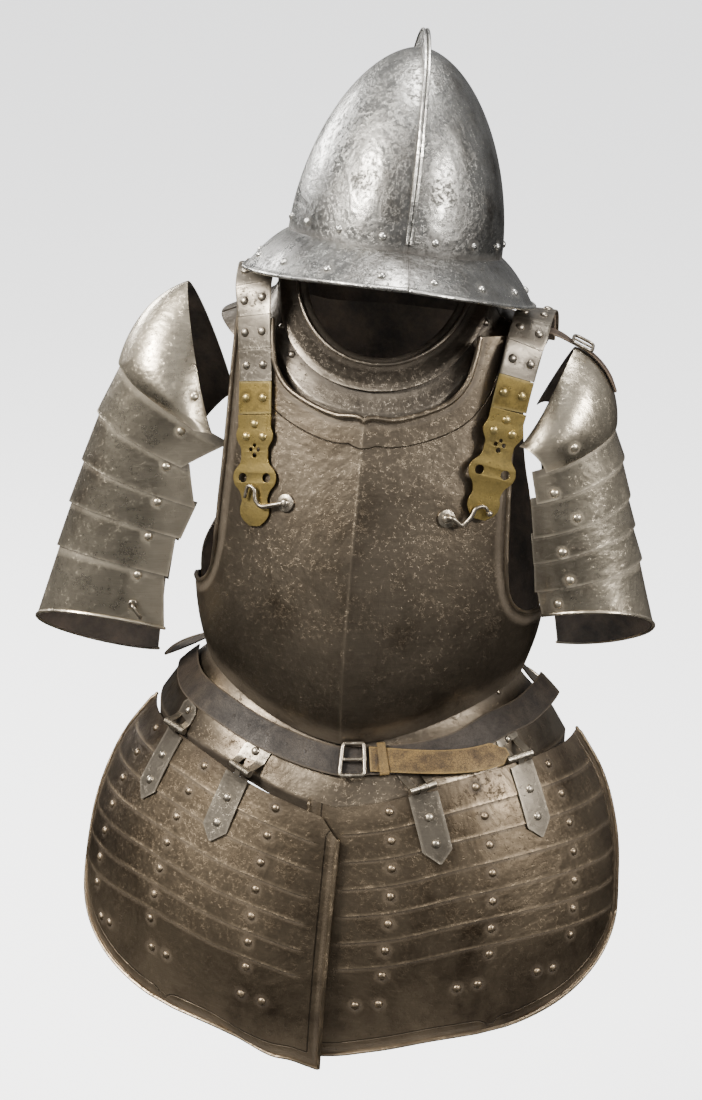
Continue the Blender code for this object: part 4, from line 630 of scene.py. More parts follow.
def leaf_point(side, deg, low, w, d):
    """Outer face of a hinge leaf: w across, d away from the axis along the plate."""
    a = math.radians(deg)
    mid = hinge_spot(side, deg)
    p, along = hinge_line(side)
    out = np.array([side * math.sin(a) / 0.2065, -math.cos(a) / 0.1985, 0.0])
    out = out - along * np.dot(out, along)
    out = out / np.linalg.norm(out)
    near = mid + along * w + out * (HINGE_R - 0.0003)
    level = near[2] + (-d if low else d)
    t = a
    for _ in range(6):
        far = leaf_seat(side, t, level, low)
        slide = np.array([side * math.cos(t), math.sin(t), 0.0])
        t += (w - np.dot(far - mid, along)) / (0.21 * np.dot(slide, along))
    k = float(ease(d / (0.0075 if low else 0.0056)))
    flat = near + np.array([0, 0, -d if low else d])
    return flat * (1 - k) + far * k


def leaf_share(side, angle, h):
    """Share of the thigh plate's width at an angle, near its top."""
    inner = -0.006 if side < 0 else -0.026
    w = float(column(TASSET, h, 1))
    return (angle - math.asin(inner / w)) / (TASSET_END - math.asin(inner / w))


def arm_strap_point(i, w, lift):
    """Point i along the arm strap, w across it, raised by lift."""
    if i < len(ARM_STRAP_START):
        x, z = ARM_STRAP_START[i]
        return np.array([x + 0.3 * lift, ARM_Y + w, z + 0.95 * lift])
    v = np.float64(ARM_STRAP_DOWN[i - len(ARM_STRAP_START)])
    return lame_point(1, 0, np.float64(0.5 + w / 0.245), v, np.float64(lift))


# %% [markdown]
# ## Mesh helpers
#
# A surface is a grid of points. A shell adds the wall: the same points moved inward along their
# normals, and a strip round every open edge, so each piece is a closed body.

# %% Grids and shells
def grid_quads(rows, cols, start=0, wrap=False):
    """Corner numbers of the faces between a grid of points."""
    i = np.arange(rows * cols).reshape(rows, cols) + start
    if wrap:
        i = np.concatenate([i, i[:, :1]], 1)
    return np.stack([i[:-1, :-1], i[:-1, 1:], i[1:, 1:], i[1:, :-1]], -1).reshape(-1, 4)


def point_normals(v, q):
    """Normal of every point: the sum of its faces' areas, made one long."""
    face = np.cross(v[q[:, 2]] - v[q[:, 0]], v[q[:, 3]] - v[q[:, 1]])
    n = np.zeros_like(v)
    for k in range(4):
        np.add.at(n, q[:, k], face)
    return n / np.maximum(np.linalg.norm(n, axis=1, keepdims=True), 1e-12), face


def weld(v, q, data, tol=2e-6):
    """Join points that fall together, so that seams and poles are closed."""
    key = np.round(v / tol).astype(np.int64)
    _, first, back = np.unique(key, axis=0, return_index=True, return_inverse=True)
    return v[first], back.reshape(-1)[q], data[first]


def shell(v, q, data, wall, inside):
    """Closed wall from an open surface; faces carry 0 outside and 1 inside."""
    v, q, data = weld(v, q, data)
    n, face = point_normals(v, q)
    mid = v[q].mean(1)
    if np.sum(np.einsum("ij,ij->i", face, mid - np.asarray(inside, float))) < 0:
        q = q[:, ::-1]
        n = -n
    edges = np.concatenate([q[:, [k, (k + 1) % 4]] for k in range(4)])
    edges = edges[edges[:, 0] != edges[:, 1]]
    count = len(v)
    code = edges[:, 0] * count + edges[:, 1]
    open_edge = edges[~np.isin(code, edges[:, 1] * count + edges[:, 0])]
    a, b = open_edge[:, 0], open_edge[:, 1]
    rim = np.stack([b, a, a + count, b + count], 1)
    every = np.concatenate([q, q[:, ::-1] + count, rim])
    kind = np.r_[np.zeros(len(q), int), np.ones(len(q), int), np.zeros(len(rim), int)]
    return np.concatenate([v, v - n * wall]), every, np.concatenate([data, data]), kind


def one_look(part):
    """The same surface with its first material on all of its faces."""
    return part[0], part[1], part[2], part[3] * 0


def plain(v, q, value=0.0, kind=0):
    """Closed surface with the same data on every point."""
    data = np.zeros((len(v), 4))
    data[:, 2] = value
    return v, q, data, np.full(len(q), kind)


# %% Rivet heads and round bars
def domes(at, normal, radius, height, kind=0, sink=0.0012, rings=6, sides=18):
    """Round rivet heads, closed below, at many points at once."""
    at, normal = np.asarray(at, float), np.asarray(normal, float)
    normal = normal / np.linalg.norm(normal, axis=1, keepdims=True)
    help_axis = np.where(np.abs(normal[:, 2:3]) < 0.9, [[0.0, 0.0, 1.0]], [[1.0, 0.0, 0.0]])
    x = np.cross(help_axis, normal)
    x /= np.linalg.norm(x, axis=1, keepdims=True)
    y = np.cross(normal, x)
    lift = np.linspace(0.25, math.pi / 2, rings)
    up = np.r_[-sink, -sink, 0.0, height * np.sin(lift)]
    out = np.r_[0.0, 1.0, 1.0, np.cos(lift[:-1]), 0.0]
    a = np.linspace(0, 2 * math.pi, sides, endpoint=False)
    ring = (x[:, None, None] * np.cos(a)[None, None, :, None]
            + y[:, None, None] * np.sin(a)[None, None, :, None])
    ring = ring * (radius * out)[None, :, None, None]
    v = (at[:, None, None] + ring + normal[:, None, None] * up[None, :, None, None])
    rows = len(up)
    q = np.concatenate([grid_quads(rows, sides, k * rows * sides, True) for k in range(len(at))])
    v, q, data, kinds = plain(v.reshape(-1, 3), q, 1.0, kind)
    v, q, data = weld(v, q, data)
    return v, q, data, kinds


def bar(path, radius, sides=10, closed=False, value=0.6, kind=0, up=None):
    """Round bar along a path, with rounded ends."""
    p = np.asarray(path, float)
    if closed:
        t = np.roll(p, -1, 0) - np.roll(p, 1, 0)
    else:
        t = np.gradient(p, axis=0)
    t /= np.linalg.norm(t, axis=1, keepdims=True)
    ref = np.array([0.31, 0.23, 0.92]) if up is None else np.asarray(up, float)
    x = np.cross(t, ref)
    x /= np.linalg.norm(x, axis=1, keepdims=True)
    y = np.cross(t, x)
    r = np.full(len(p), radius) if np.isscalar(radius) else np.asarray(radius, float)
    if not closed:
        step, narrow = np.array([1.0, 0.8, 0.4]), np.array([0.02, 0.6, 0.92])
        head = p[0] - t[0] * (r[0] * step)[:, None]
        foot = p[-1] + t[-1] * (r[-1] * step[::-1])[:, None]
        p = np.concatenate([head, p, foot])
        x = np.concatenate([np.repeat(x[:1], 3, 0), x, np.repeat(x[-1:], 3, 0)])
        y = np.concatenate([np.repeat(y[:1], 3, 0), y, np.repeat(y[-1:], 3, 0)])
        r = np.r_[r[0] * narrow, r, r[-1] * narrow[::-1]]
    a = np.linspace(0, 2 * math.pi, sides, endpoint=False)
    round_ = x[:, None] * np.cos(a)[None, :, None] + y[:, None] * np.sin(a)[None, :, None]
    v = p[:, None] + round_ * r[:, None, None]
    rows = len(v)
    v = v.reshape(-1, 3)
    if closed:
        q = grid_quads(rows + 1, sides, 0, True)
        return plain(v, np.where(q >= rows * sides, q - rows * sides, q), value, kind)
    v, q, data, kinds = plain(v, grid_quads(rows, sides, 0, True), value, kind)
    first, last = np.arange(sides), np.arange(sides) + (rows - 1) * sides
    n = len(v)
    v = np.concatenate([v, [p[0] - t[0] * 1e-6, p[-1] + t[-1] * 1e-6]])
    cap = np.concatenate([
        np.stack([np.full(sides, n), np.roll(first, -1), first, np.full(sides, n)], 1),
        np.stack([np.full(sides, n + 1), last, np.roll(last, -1), np.full(sides, n + 1)], 1)])
    data = np.concatenate([data, data[:2]])
    return v, np.concatenate([q, cap]), data, np.r_[kinds, np.full(len(cap), kind)]


# %% [markdown]
# Each point carries four numbers that the materials read: distance from an edge, distance along
# it, how much the steel is rubbed bright there, with painted highlights on the thigh plates' lips, and how
# much real dirt and painted shade darken it.

# %% One object from its surfaces
def piece(name, parts, looks, nodes, body=suit_body, sharp=32.0):
    """Join surfaces into one object that stands for its CAD nodes."""
    start = 0
    verts, polys, data, kinds = [], [], [], []
    for v, q, d, k in parts:
        verts.append(v)
        polys.append(q + start)
        data.append(d)
        kinds.append(k)
        start += len(v)
    verts, polys = np.concatenate(verts), np.concatenate(polys)
    data, kinds = np.concatenate(data), np.concatenate(kinds)
    same = polys == np.roll(polys, -1, 1)
    kept = same.sum(1) <= 1
    polys, kinds, same = polys[kept], kinds[kept], same[kept]
    full = ~same.any(1)
    tri = polys[~full]
    tri = np.where(same[~full], -1, tri)
    tri = tri[tri >= 0].reshape(-1, 3)
    corners = np.concatenate([polys[full].reshape(-1), tri.reshape(-1)]).astype(np.int32)
    sizes = np.r_[np.full(full.sum(), 4), np.full(len(tri), 3)]
    starts = (np.cumsum(sizes) - sizes).astype(np.int32)
    mesh = bpy.data.meshes.new(name)
    mesh.vertices.add(len(verts))
    mesh.vertices.foreach_set("co", verts.astype(np.float32).ravel())
    mesh.loops.add(len(corners))
    mesh.loops.foreach_set("vertex_index", corners)
    mesh.polygons.add(len(sizes))
    mesh.polygons.foreach_set("loop_start", starts)
    for look in looks:
        mesh.materials.append(look)
    order = np.r_[kinds[full], kinds[~full]].astype(np.int32)
    mesh.polygons.foreach_set("material_index", order)
    uv = mesh.uv_layers.new(name="along")
    uv.data.foreach_set("uv", data[corners, :2].astype(np.float32).ravel())
    for col, label in ((2, "wear_and_sheen"), (3, "dirt_and_shade")):
        layer = mesh.attributes.new(label, "FLOAT", "POINT")
        layer.data.foreach_set("value", data[:, col].astype(np.float32))
    mesh.update(calc_edges=True)
    mesh.validate()
    mesh.shade_smooth()
    mesh.set_sharp_from_angle(angle=math.radians(sharp))
    ob = bpy.data.objects.new(name, mesh)
    bpy.context.scene.collection.objects.link(ob)
    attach(ob, body)
    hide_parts(*nodes)
    return ob


def surface(fn, us, vs):
    """Grid of points of a surface function, with the grid numbers."""
    u, v = np.meshgrid(np.asarray(us, float), np.asarray(vs, float), indexing="ij")
    return fn(u, v), u, v


def spots(fn, uv, inside, e=0.003):
    """Points and outward directions of a surface function at chosen places."""
    uv = np.asarray(uv, float)
    u, v = uv[:, 0], uv[:, 1]
    p = fn(u, v)
    n = np.cross(fn(u + e, v) - fn(u - e, v), fn(u, v + e) - fn(u, v - e))
    n /= np.linalg.norm(n, axis=1, keepdims=True)
    turn = np.sign(np.sum(n * (p - np.asarray(inside, float)), axis=1, keepdims=True))
    return p, n * turn

# %% [markdown]
# ## Materials
#
# Old steel is not one grey. Broad clouds of brown patina, small dark pits, fine polishing marks
# and bright rubbed edges are mixed from noise at four scales in object space.

# %% Small helpers for material nodes
class Nodes:
    """One material and quick ways to add and join its nodes."""

    def __init__(self, name):
        self.mat = bpy.data.materials.new(name)
        self.mat.use_nodes = True
        self.tree = self.mat.node_tree
        self.tree.nodes.clear()
        out = self.tree.nodes.new("ShaderNodeOutputMaterial")
        self.bsdf = self.tree.nodes.new("ShaderNodeBsdfPrincipled")
        self.join(self.bsdf.outputs[0], out.inputs[0])
        self.place = self.tree.nodes.new("ShaderNodeTexCoord").outputs["Object"]

    def join(self, a, b):
        """Link an output to an input."""
        self.tree.links.new(a, b)

    def put(self, socket, value):
        """Link or set an input, whichever the value is."""
        if isinstance(value, bpy.types.NodeSocket):
            self.join(value, socket)
        else:
            socket.default_value = value

    def look(self, label, value):
        """Link or set an input of the surface by its name."""
        self.put(self.bsdf.inputs[label], value)

    def noise(self, scale, detail=4.0, rough=0.6, stretch=None, distort=0.0):
        """Noise in object space, stretched along an axis where asked."""
        node = self.tree.nodes.new("ShaderNodeTexNoise")
        for key, v in (("Scale", scale), ("Detail", detail), ("Roughness", rough),
                       ("Distortion", distort)):
            node.inputs[key].default_value = v
        source = self.place
        if stretch:
            shape = self.tree.nodes.new("ShaderNodeMapping")
            shape.inputs["Scale"].default_value = stretch
            self.join(self.place, shape.inputs["Vector"])
            source = shape.outputs[0]
        self.join(source, node.inputs["Vector"])
        return node.outputs["Fac"]

    def ramp(self, value, low, high, a=0.0, b=1.0):
        """Value mapped from low..high to a..b."""
        node = self.tree.nodes.new("ShaderNodeMapRange")
        for key, v in (("From Min", low), ("From Max", high), ("To Min", a), ("To Max", b)):
            node.inputs[key].default_value = v
        self.join(value, node.inputs["Value"])
        return node.outputs[0]

    def math(self, how, a, b):
        """One operation of two values."""
        node = self.tree.nodes.new("ShaderNodeMath")
        node.operation = how
        self.put(node.inputs[0], a)
        self.put(node.inputs[1], b)
        return node.outputs[0]

    def times(self, a, b):
        """Product of two values."""
        return self.math("MULTIPLY", a, b)

    def plus(self, a, b):
        """Sum of two values."""
        return self.math("ADD", a, b)

    def blend(self, share, a, b):
        """Mix of two colours."""
        node = self.tree.nodes.new("ShaderNodeMix")
        node.data_type = "RGBA"
        self.put(node.inputs["Factor"], share)
        for socket, v in ((node.inputs[6], a), (node.inputs[7], b)):
            self.put(socket, (*v, 1.0) if isinstance(v, tuple) else v)
        return node.outputs[2]

    def number(self, label):
        """A number kept on the points."""
        node = self.tree.nodes.new("ShaderNodeAttribute")
        node.attribute_name = label
        return node.outputs["Fac"]

    def along(self):
        """Distance from the edge, kept in the first number of the map."""
        node = self.tree.nodes.new("ShaderNodeUVMap")
        node.uv_map = "along"
        parts = self.tree.nodes.new("ShaderNodeSeparateXYZ")
        self.join(node.outputs[0], parts.inputs[0])
        return parts.outputs[0]

    def bump(self, height, strength, distance, under=None):
        """Bump on top of another one."""
        node = self.tree.nodes.new("ShaderNodeBump")
        node.inputs["Strength"].default_value = strength
        node.inputs["Distance"].default_value = distance
        self.join(height, node.inputs["Height"])
        if under is not None:
            self.join(under, node.inputs["Normal"])
        return node.outputs[0]

    def line(self, value, at, half):
        """1 on a thin line where value equals at, 0 beside it."""
        off = self.math("ABSOLUTE", self.math("SUBTRACT", value, at), 0.0)
        return self.ramp(off, half, half * 0.4)


# %% Steel
def steel(name, bright, dark, cloud, pits, rough, lines, wave):
    """Worn steel: bright metal, brown clouds, pits, rubbed edges and incised lines."""
    m = Nodes(name)
    big = m.noise(7.0, 5.0, 0.62, distort=0.4)
    mid = m.noise(34.0, 6.0, 0.68)
    fine = m.noise(260.0, 5.0, 0.7)
    tiny = m.noise(900.0, 3.0, 0.6)
    brushed = m.noise(1.0, 4.0, 0.6, (55.0, 55.0, 1100.0))
    mix = m.plus(m.times(big, 0.62), m.times(mid, 0.38))
    share = m.ramp(mix, 0.42 + 0.12 * (1 - cloud), 0.62 + 0.12 * (1 - cloud))
    colour = m.blend(share, bright, dark)
    speck = m.ramp(m.plus(m.times(fine, 0.7), m.times(mid, 0.3)), 0.60 - 0.10 * pits,
                   0.72 - 0.10 * pits)
    colour = m.blend(m.times(speck, 0.75 * pits), colour, tuple(0.32 * c for c in dark))
    colour = m.blend(m.ramp(brushed, 0.35, 0.75, 0.0, 0.22), colour, dark)
    # Rubbed bright edges; on the thigh plates' step lips this is also a painted highlight.
    wear_and_sheen = m.number("wear_and_sheen")
    colour = m.blend(m.times(wear_and_sheen, m.ramp(mid, 0.3, 0.6, 0.35, 0.9)), colour,
                     tuple(min(1.0, 1.8 * c) for c in bright))
    # Dirt round rivets, and painted shade in creases, overlaps and under rolled edges, all in one dark
    # colour.
    dirt_and_shade = m.number("dirt_and_shade")
    colour = m.blend(m.times(dirt_and_shade, m.ramp(mid, 0.25, 0.65, 0.95, 0.5)), colour,
                     (0.028, 0.021, 0.015))
    deep = None
    edge = m.along()
    for at, half in lines:
        one = m.line(edge, at, half)
        deep = one if deep is None else m.math("MAXIMUM", deep, one)
    if deep is not None:
        colour = m.blend(m.times(deep, 0.85), colour, (0.03, 0.024, 0.018))
    m.look("Base Color", colour)
    grain = m.ramp(m.plus(m.times(mid, 0.6), m.times(fine, 0.4)), 0.38, 0.66, *rough)
    m.look("Roughness", m.plus(grain, m.times(m.plus(speck, dirt_and_shade), 0.18)))
    m.look("Metallic", m.ramp(dirt_and_shade, 0.0, 1.0, 0.96, 0.45))
    under = m.bump(big, wave, 0.012)
    under = m.bump(m.times(speck, -1.0), 0.35, 0.0006, under)
    under = m.bump(m.plus(tiny, m.times(brushed, 0.6)), 0.10, 0.0005, under)
    if deep is not None:
        under = m.bump(m.times(deep, -1.0), 0.9, 0.0006, under)
    m.look("Normal", under)
    return m.mat


def unpolished(name):
    """Inside face of the plates: black-brown forge scale."""
    m = Nodes(name)
    mid = m.noise(26.0, 6.0, 0.7)
    fine = m.noise(300.0, 4.0, 0.7)
    m.look("Base Color", m.blend(m.ramp(mid, 0.35, 0.7), (0.022, 0.017, 0.013), (0.075, 0.052, 0.034)))
    m.look("Roughness", m.ramp(fine, 0.3, 0.7, 0.55, 0.8))
    m.look("Metallic", 0.25)
    m.look("Normal", m.bump(fine, 0.4, 0.0008))
    return m.mat


def brass(name):
    """Old brass: dull yellow with green-brown tarnish in the low places."""
    m = Nodes(name)
    mid = m.noise(70.0, 6.0, 0.7)
    fine = m.noise(420.0, 4.0, 0.7)
    colour = m.blend(m.ramp(mid, 0.38, 0.68), (0.38, 0.27, 0.080), (0.085, 0.062, 0.020))
    colour = m.blend(m.ramp(fine, 0.52, 0.75, 0.0, 0.6), colour, (0.09, 0.065, 0.025))
    colour = m.blend(m.times(m.number("wear_and_sheen"), 0.5), colour, (0.66, 0.53, 0.24))
    colour = m.blend(m.times(m.number("dirt_and_shade"), 0.8), colour, (0.06, 0.045, 0.02))
    m.look("Base Color", colour)
    m.look("Metallic", 0.92)
    m.look("Roughness", m.ramp(mid, 0.3, 0.7, 0.24, 0.46))
    m.look("Normal", m.bump(m.plus(fine, mid), 0.25, 0.0006))
    return m.mat


# %% Leather
def leather(name, top, low, worn, crease=0.5):
    """Old leather: fine grain, darker creases and paler worn places."""
    m = Nodes(name)
    mid = m.noise(48.0, 6.0, 0.7, distort=0.6)
    fine = m.noise(520.0, 5.0, 0.65)
    cracks = m.tree.nodes.new("ShaderNodeTexVoronoi")
    cracks.feature = "DISTANCE_TO_EDGE"
    cracks.inputs["Scale"].default_value = 380.0
    m.join(m.place, cracks.inputs["Vector"])
    split = m.ramp(cracks.outputs[0], 0.0, 0.09, 1.0, 0.0)
    colour = m.blend(m.ramp(mid, 0.36, 0.66), top, low)
    colour = m.blend(m.times(split, crease), colour, tuple(0.35 * c for c in low))
    colour = m.blend(m.times(m.number("wear_and_sheen"), m.ramp(fine, 0.3, 0.7, 0.3, 0.9)), colour, worn)
    # Dirt, and the black belt holes, which are painted shade.
    colour = m.blend(m.times(m.number("dirt_and_shade"), 0.85), colour, (0.012, 0.009, 0.006))
    m.look("Base Color", colour)
    m.look("Roughness", m.ramp(mid, 0.3, 0.7, 0.42, 0.68))
    m.look("Specular IOR Level", 0.25)
    under = m.bump(m.times(split, -1.0), 0.25, 0.0006)
    m.look("Normal", m.bump(m.plus(fine, mid), 0.3, 0.0007, under))
    return m.mat


# %% The looks of this suit
# Bright and dark colour, share of brown cloud, share of pits, roughness, incised lines, waves
NECK_LINE = ((0.0265, 0.0008),)
BORDER_LINE = ((0.0125, 0.0009),)
WARM = ((0.205, 0.165, 0.118), (0.044, 0.032, 0.021), 0.70, 0.50, (0.28, 0.44))
body_steel = steel("body_steel", *WARM, NECK_LINE, 0.25)
plain_steel = steel("back_steel", *WARM, (), 0.25)
thigh_steel = steel("thigh_steel", (0.185, 0.142, 0.094), (0.034, 0.023, 0.014), 0.80, 0.6,
                    (0.30, 0.50), BORDER_LINE, 0.35)
head_steel = steel("helmet_steel", (0.33, 0.32, 0.295), (0.046, 0.041, 0.035), 0.75, 0.85,
                   (0.22, 0.44), (), 0.45)
arm_steel = steel("arm_steel", (0.50, 0.435, 0.33), (0.105, 0.084, 0.060), 0.55, 0.4,
                  (0.24, 0.42), (), 0.40)
neck_steel = steel("neck_steel", (0.19, 0.162, 0.128), (0.038, 0.030, 0.022), 0.7, 0.5,
                   (0.28, 0.48), (), 0.3)
scale_steel = steel("scale_steel", (0.23, 0.20, 0.158), (0.048, 0.039, 0.028), 0.70, 0.5,
                    (0.28, 0.46), (), 0.2)
fitting_steel = steel("fitting_steel", (0.26, 0.225, 0.175), (0.070, 0.056, 0.040), 0.60, 0.5,
                      (0.26, 0.44), (), 0.2)
inside_face = unpolished("inside_face")
old_brass = brass("old_brass")
strap_hide = leather("strap_leather", (0.075, 0.052, 0.036), (0.030, 0.021, 0.015),
                     (0.16, 0.115, 0.075))
belt_hide = leather("belt_leather", (0.036, 0.027, 0.019), (0.011, 0.008, 0.006),
                    (0.10, 0.076, 0.050), 0.6)
tail_hide = leather("worn_leather", (0.13, 0.080, 0.026), (0.028, 0.017, 0.008),
                    (0.25, 0.165, 0.060), 0.8)
print("materials", len(bpy.data.materials))

# %% [markdown]
# ## Camera and light
#
# The camera stands 2.8 m away, a little to the wearer's left and 22 degrees above, with the
# slight roll of the photograph. Four soft lights, a pale floor that glows a little and a sky that
# darkens downward light the steel. The floor is kept out of mirror rays, so metal stays dark below.

# %% Camera
VIEW_AT = math.radians(7.0)
VIEW_UP = math.radians(22.0)
VIEW_ROLL = math.radians(3.0)
VIEW_FAR = 2.8
VIEW_MID = -0.300
FRAME_H = 1100
FRAME_SHIFT = -21
FILM = 36.0
back = np.array([math.sin(VIEW_AT) * math.cos(VIEW_UP), -math.cos(VIEW_AT) * math.cos(VIEW_UP),
                 math.sin(VIEW_UP)])
level = np.array([math.cos(VIEW_AT), math.sin(VIEW_AT), 0.0])
tall = np.cross(back, level)
right = math.cos(VIEW_ROLL) * level + math.sin(VIEW_ROLL) * tall
up = math.cos(VIEW_ROLL) * tall - math.sin(VIEW_ROLL) * level
camera_data = bpy.data.cameras.new("camera")
camera_data.sensor_width = FILM
camera_data.lens = VIEW_FAR * 1000 / FRAME_H * FILM
camera_data.shift_x = FRAME_SHIFT / FRAME_H
camera = bpy.data.objects.new("camera", camera_data)
eye = np.array([0.0, 0.0, VIEW_MID]) + back * VIEW_FAR
camera.matrix_world = Matrix([[right[i], up[i], back[i], eye[i]] for i in range(3)] + [[0, 0, 0, 1]])
bpy.context.scene.collection.objects.link(camera)
bpy.context.scene.camera = camera


# %% Floor and lights
FLOOR_AT = -1.25


def soft_light(name, at, aim, size, power, tint=(1.0, 1.0, 1.0)):
    """A square area light that looks at a point."""
    data = bpy.data.lights.new(name, "AREA")
    data.size = size
    data.energy = power
    data.color = tint
    ob = bpy.data.objects.new(name, data)
    ob.location = at
    ob.rotation_euler = (Vector(aim) - Vector(at)).to_track_quat("-Z", "Y").to_euler()
    bpy.context.scene.collection.objects.link(ob)


soft_light("key_left", (-2.2, -1.5, 1.9), (0, 0, VIEW_MID), 1.0, 290, (1.0, 0.97, 0.92))
soft_light("key_right", (2.4, -1.2, 1.4), (0, 0, VIEW_MID), 0.8, 120, (1.0, 0.98, 0.95))
soft_light("top", (0.1, 0.4, 2.6), (0, 0, -0.2), 1.1, 110)
soft_light("rim_left", (-2.0, 1.6, 0.6), (0, 0, VIEW_MID), 0.8, 60)
bpy.ops.mesh.primitive_plane_add(size=60, location=(0, 0, FLOOR_AT))
floor = bpy.context.object
floor.name = "floor"
floor_look = Nodes("floor_look")
floor_share = floor_look.ramp(floor_look.noise(0.6), 0.3, 0.7)
floor_look.look("Base Color", floor_look.blend(floor_share, (0.90, 0.90, 0.90), (0.93, 0.93, 0.93)))
floor_look.look("Roughness", 0.9)
floor_look.look("Emission Color", (1.0, 1.0, 1.0, 1.0))
floor_look.look("Emission Strength", 1.6)
floor.visible_glossy = False
floor.data.materials.append(floor_look.mat)
floor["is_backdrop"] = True
world = bpy.data.worlds.new("studio")
world.use_nodes = True
sky = world.node_tree
glow = next(n for n in sky.nodes if n.type == "BACKGROUND")
glow.inputs["Color"].default_value = (0.84, 0.86, 0.90, 1.0)
around = sky.nodes.new("ShaderNodeTexCoord")
split = sky.nodes.new("ShaderNodeSeparateXYZ")
height = sky.nodes.new("ShaderNodeMapRange")
sky.links.new(around.outputs["Generated"], split.inputs[0])
sky.links.new(split.outputs["Z"], height.inputs["Value"])
for key, value in (("From Min", -0.35), ("From Max", 0.8), ("To Min", 0.0), ("To Max", 0.70)):
    height.inputs[key].default_value = value
sky.links.new(height.outputs["Result"], glow.inputs["Strength"])
bpy.context.scene.world = world

# %% [markdown]
# ## Breastplate and backplate
#
# The medial ridge, the turned neck and arm edges and the thin incised line under the neck are
# the marks of this breastplate. Distance from the neck edge is kept on the points for the line.


# %% Distances and edge marks
def near(v, path):
    """Distance from each point to a path, by its nearest sample."""
    path = np.asarray(path, float)
    best = np.full(len(v), 1e9)
    for start in range(0, len(path), 40):
        part = path[start:start + 40]
        d = np.linalg.norm(v[:, None] - part[None], axis=2).min(1)
        best = np.minimum(best, d)
    return best


def marks(v, edge=None, run=None, wear_and_sheen=0.0, dirt_and_shade=0.0):
    """The four numbers of each point."""
    zero = np.zeros(len(v))
    return np.stack([zero + (0.5 if edge is None else edge), zero if run is None else run,
                     zero + wear_and_sheen, zero + dirt_and_shade], 1)


def soil(v, at, radius, spread=0.0045):
    """Dirt that stays round rivet heads."""
    return 0.75 * fade(near(v, at) - radius, spread)


# %% Breastplate
ss = 0.5 - 0.5 * np.cos(np.pi * np.linspace(0, 1, 76))
ts = np.r_[np.linspace(0, RIDGE_END, 62)[:-1], np.linspace(RIDGE_END, 1.0, 96)]
half = surface(breast_point, ss, ts)[0]
half[0, ts >= RIDGE_END, 0] = 0.0
left = half.reshape(-1, 3)
other = (half * MIRROR).reshape(-1, 3)
quads = grid_quads(len(ss), len(ts))
neck = breast_point(np.zeros(90), np.linspace(0, RIDGE_END, 90))
neck_path = np.concatenate([neck * MIRROR, neck[::-1][1:]])
arm_edge = breast_point(np.ones(110), np.linspace(0, 0.74, 110))
v = np.concatenate([left, other])
gap = near(v, neck_path)
arm_gap = np.minimum(near(v, arm_edge), near(v, arm_edge * MIRROR))
ridge = fade(np.abs(v[:, 0]), 0.0022) * (gap > 0.01)
wear_and_sheen = fade(np.minimum(gap, arm_gap), 0.0035) + 0.55 * ridge
# Painted shade: a dark band under the neck roll, one beside each arm roll, and darker towards the lower
# edge.
dirt_and_shade = 0.8 * fade(np.abs(gap - 0.0075), 0.0035)
dirt_and_shade += 0.7 * fade(np.abs(arm_gap - 0.0085), 0.005)
waist_gap = v[:, 2] - waist(np.arcsin(np.clip(np.abs(v[:, 0]) / 0.165, 0, 1)))
dirt_and_shade += 0.5 * fade(waist_gap, 0.02) * (gap > 0.1)
data = marks(v, gap, v[:, 0], np.clip(wear_and_sheen, 0, 1), np.clip(dirt_and_shade, 0, 1))
plate = shell(v, np.concatenate([quads, quads[:, ::-1] + len(left)]), data, BREAST_WALL, TRUNK_MID)
roll = bar(neck_path + np.array([0, 0.0006, -0.0004]), NECK_ROLL, 12)
arm_rolls = [bar(arm_edge * mirror(k) + np.array([-0.0008 * k, 0, 0]), ARM_ROLL, 10)
             for k in (-1.0, 1.0)]
piece("breastplate_worn", [plate, roll] + arm_rolls, [body_steel, inside_face], ["breastplate"],
      sharp=13.0)

# %% Backplate
rows = np.unique(np.r_[np.linspace(0, 1, 90), FLANGE_AT, 0.94])
parts_v, parts_q = [], []
for side in (-1, 1):
    p, _, _ = surface(lambda s, t: back_point(side, s, t), np.linspace(0, 1, 64), rows)
    p[0, :, 0] = 0.0
    parts_v.append(p.reshape(-1, 3))
    q = grid_quads(64, len(rows))
    parts_q.append((q if side > 0 else q[:, ::-1]) + (0 if side < 0 else 64 * len(rows)))
v = np.concatenate(parts_v)
rim = np.concatenate([back_point(k, np.linspace(0, 1, 60), np.ones(60)) for k in (-1, 1)])
rim_gap = near(v, rim)
# Rubbed bright at the rim, and darker within 3 cm of the flange's rim.
data = marks(v, None, v[:, 0], 0.8 * fade(rim_gap, 0.003), 0.4 * fade(rim_gap, 0.03))
plate = shell(v, np.concatenate(parts_q), data, BACK_WALL, (0, -0.02, -0.25))
rim_path = np.concatenate([back_point(-1, np.linspace(1, 0, 80), np.ones(80)),
                           back_point(1, np.linspace(0, 1, 80), np.ones(80))[1:]])
piece("backplate_worn", [plate, bar(rim_path, FLANGE_ROLL, 8)], [plain_steel, inside_face],
      ["backplate"])

# %% Skirt lame
fold, _, t_of = surface(fauld_point, np.radians(np.linspace(-87, 87, 170)), np.linspace(0, 1.2, 52))
v = fold.reshape(-1, 3)
low_edge = fauld_point(np.radians(np.linspace(-87, 87, 200)), np.ones(200))
at, n = spots(fauld_point, [(math.radians(64.0), 0.235)], SKIRT_MID)
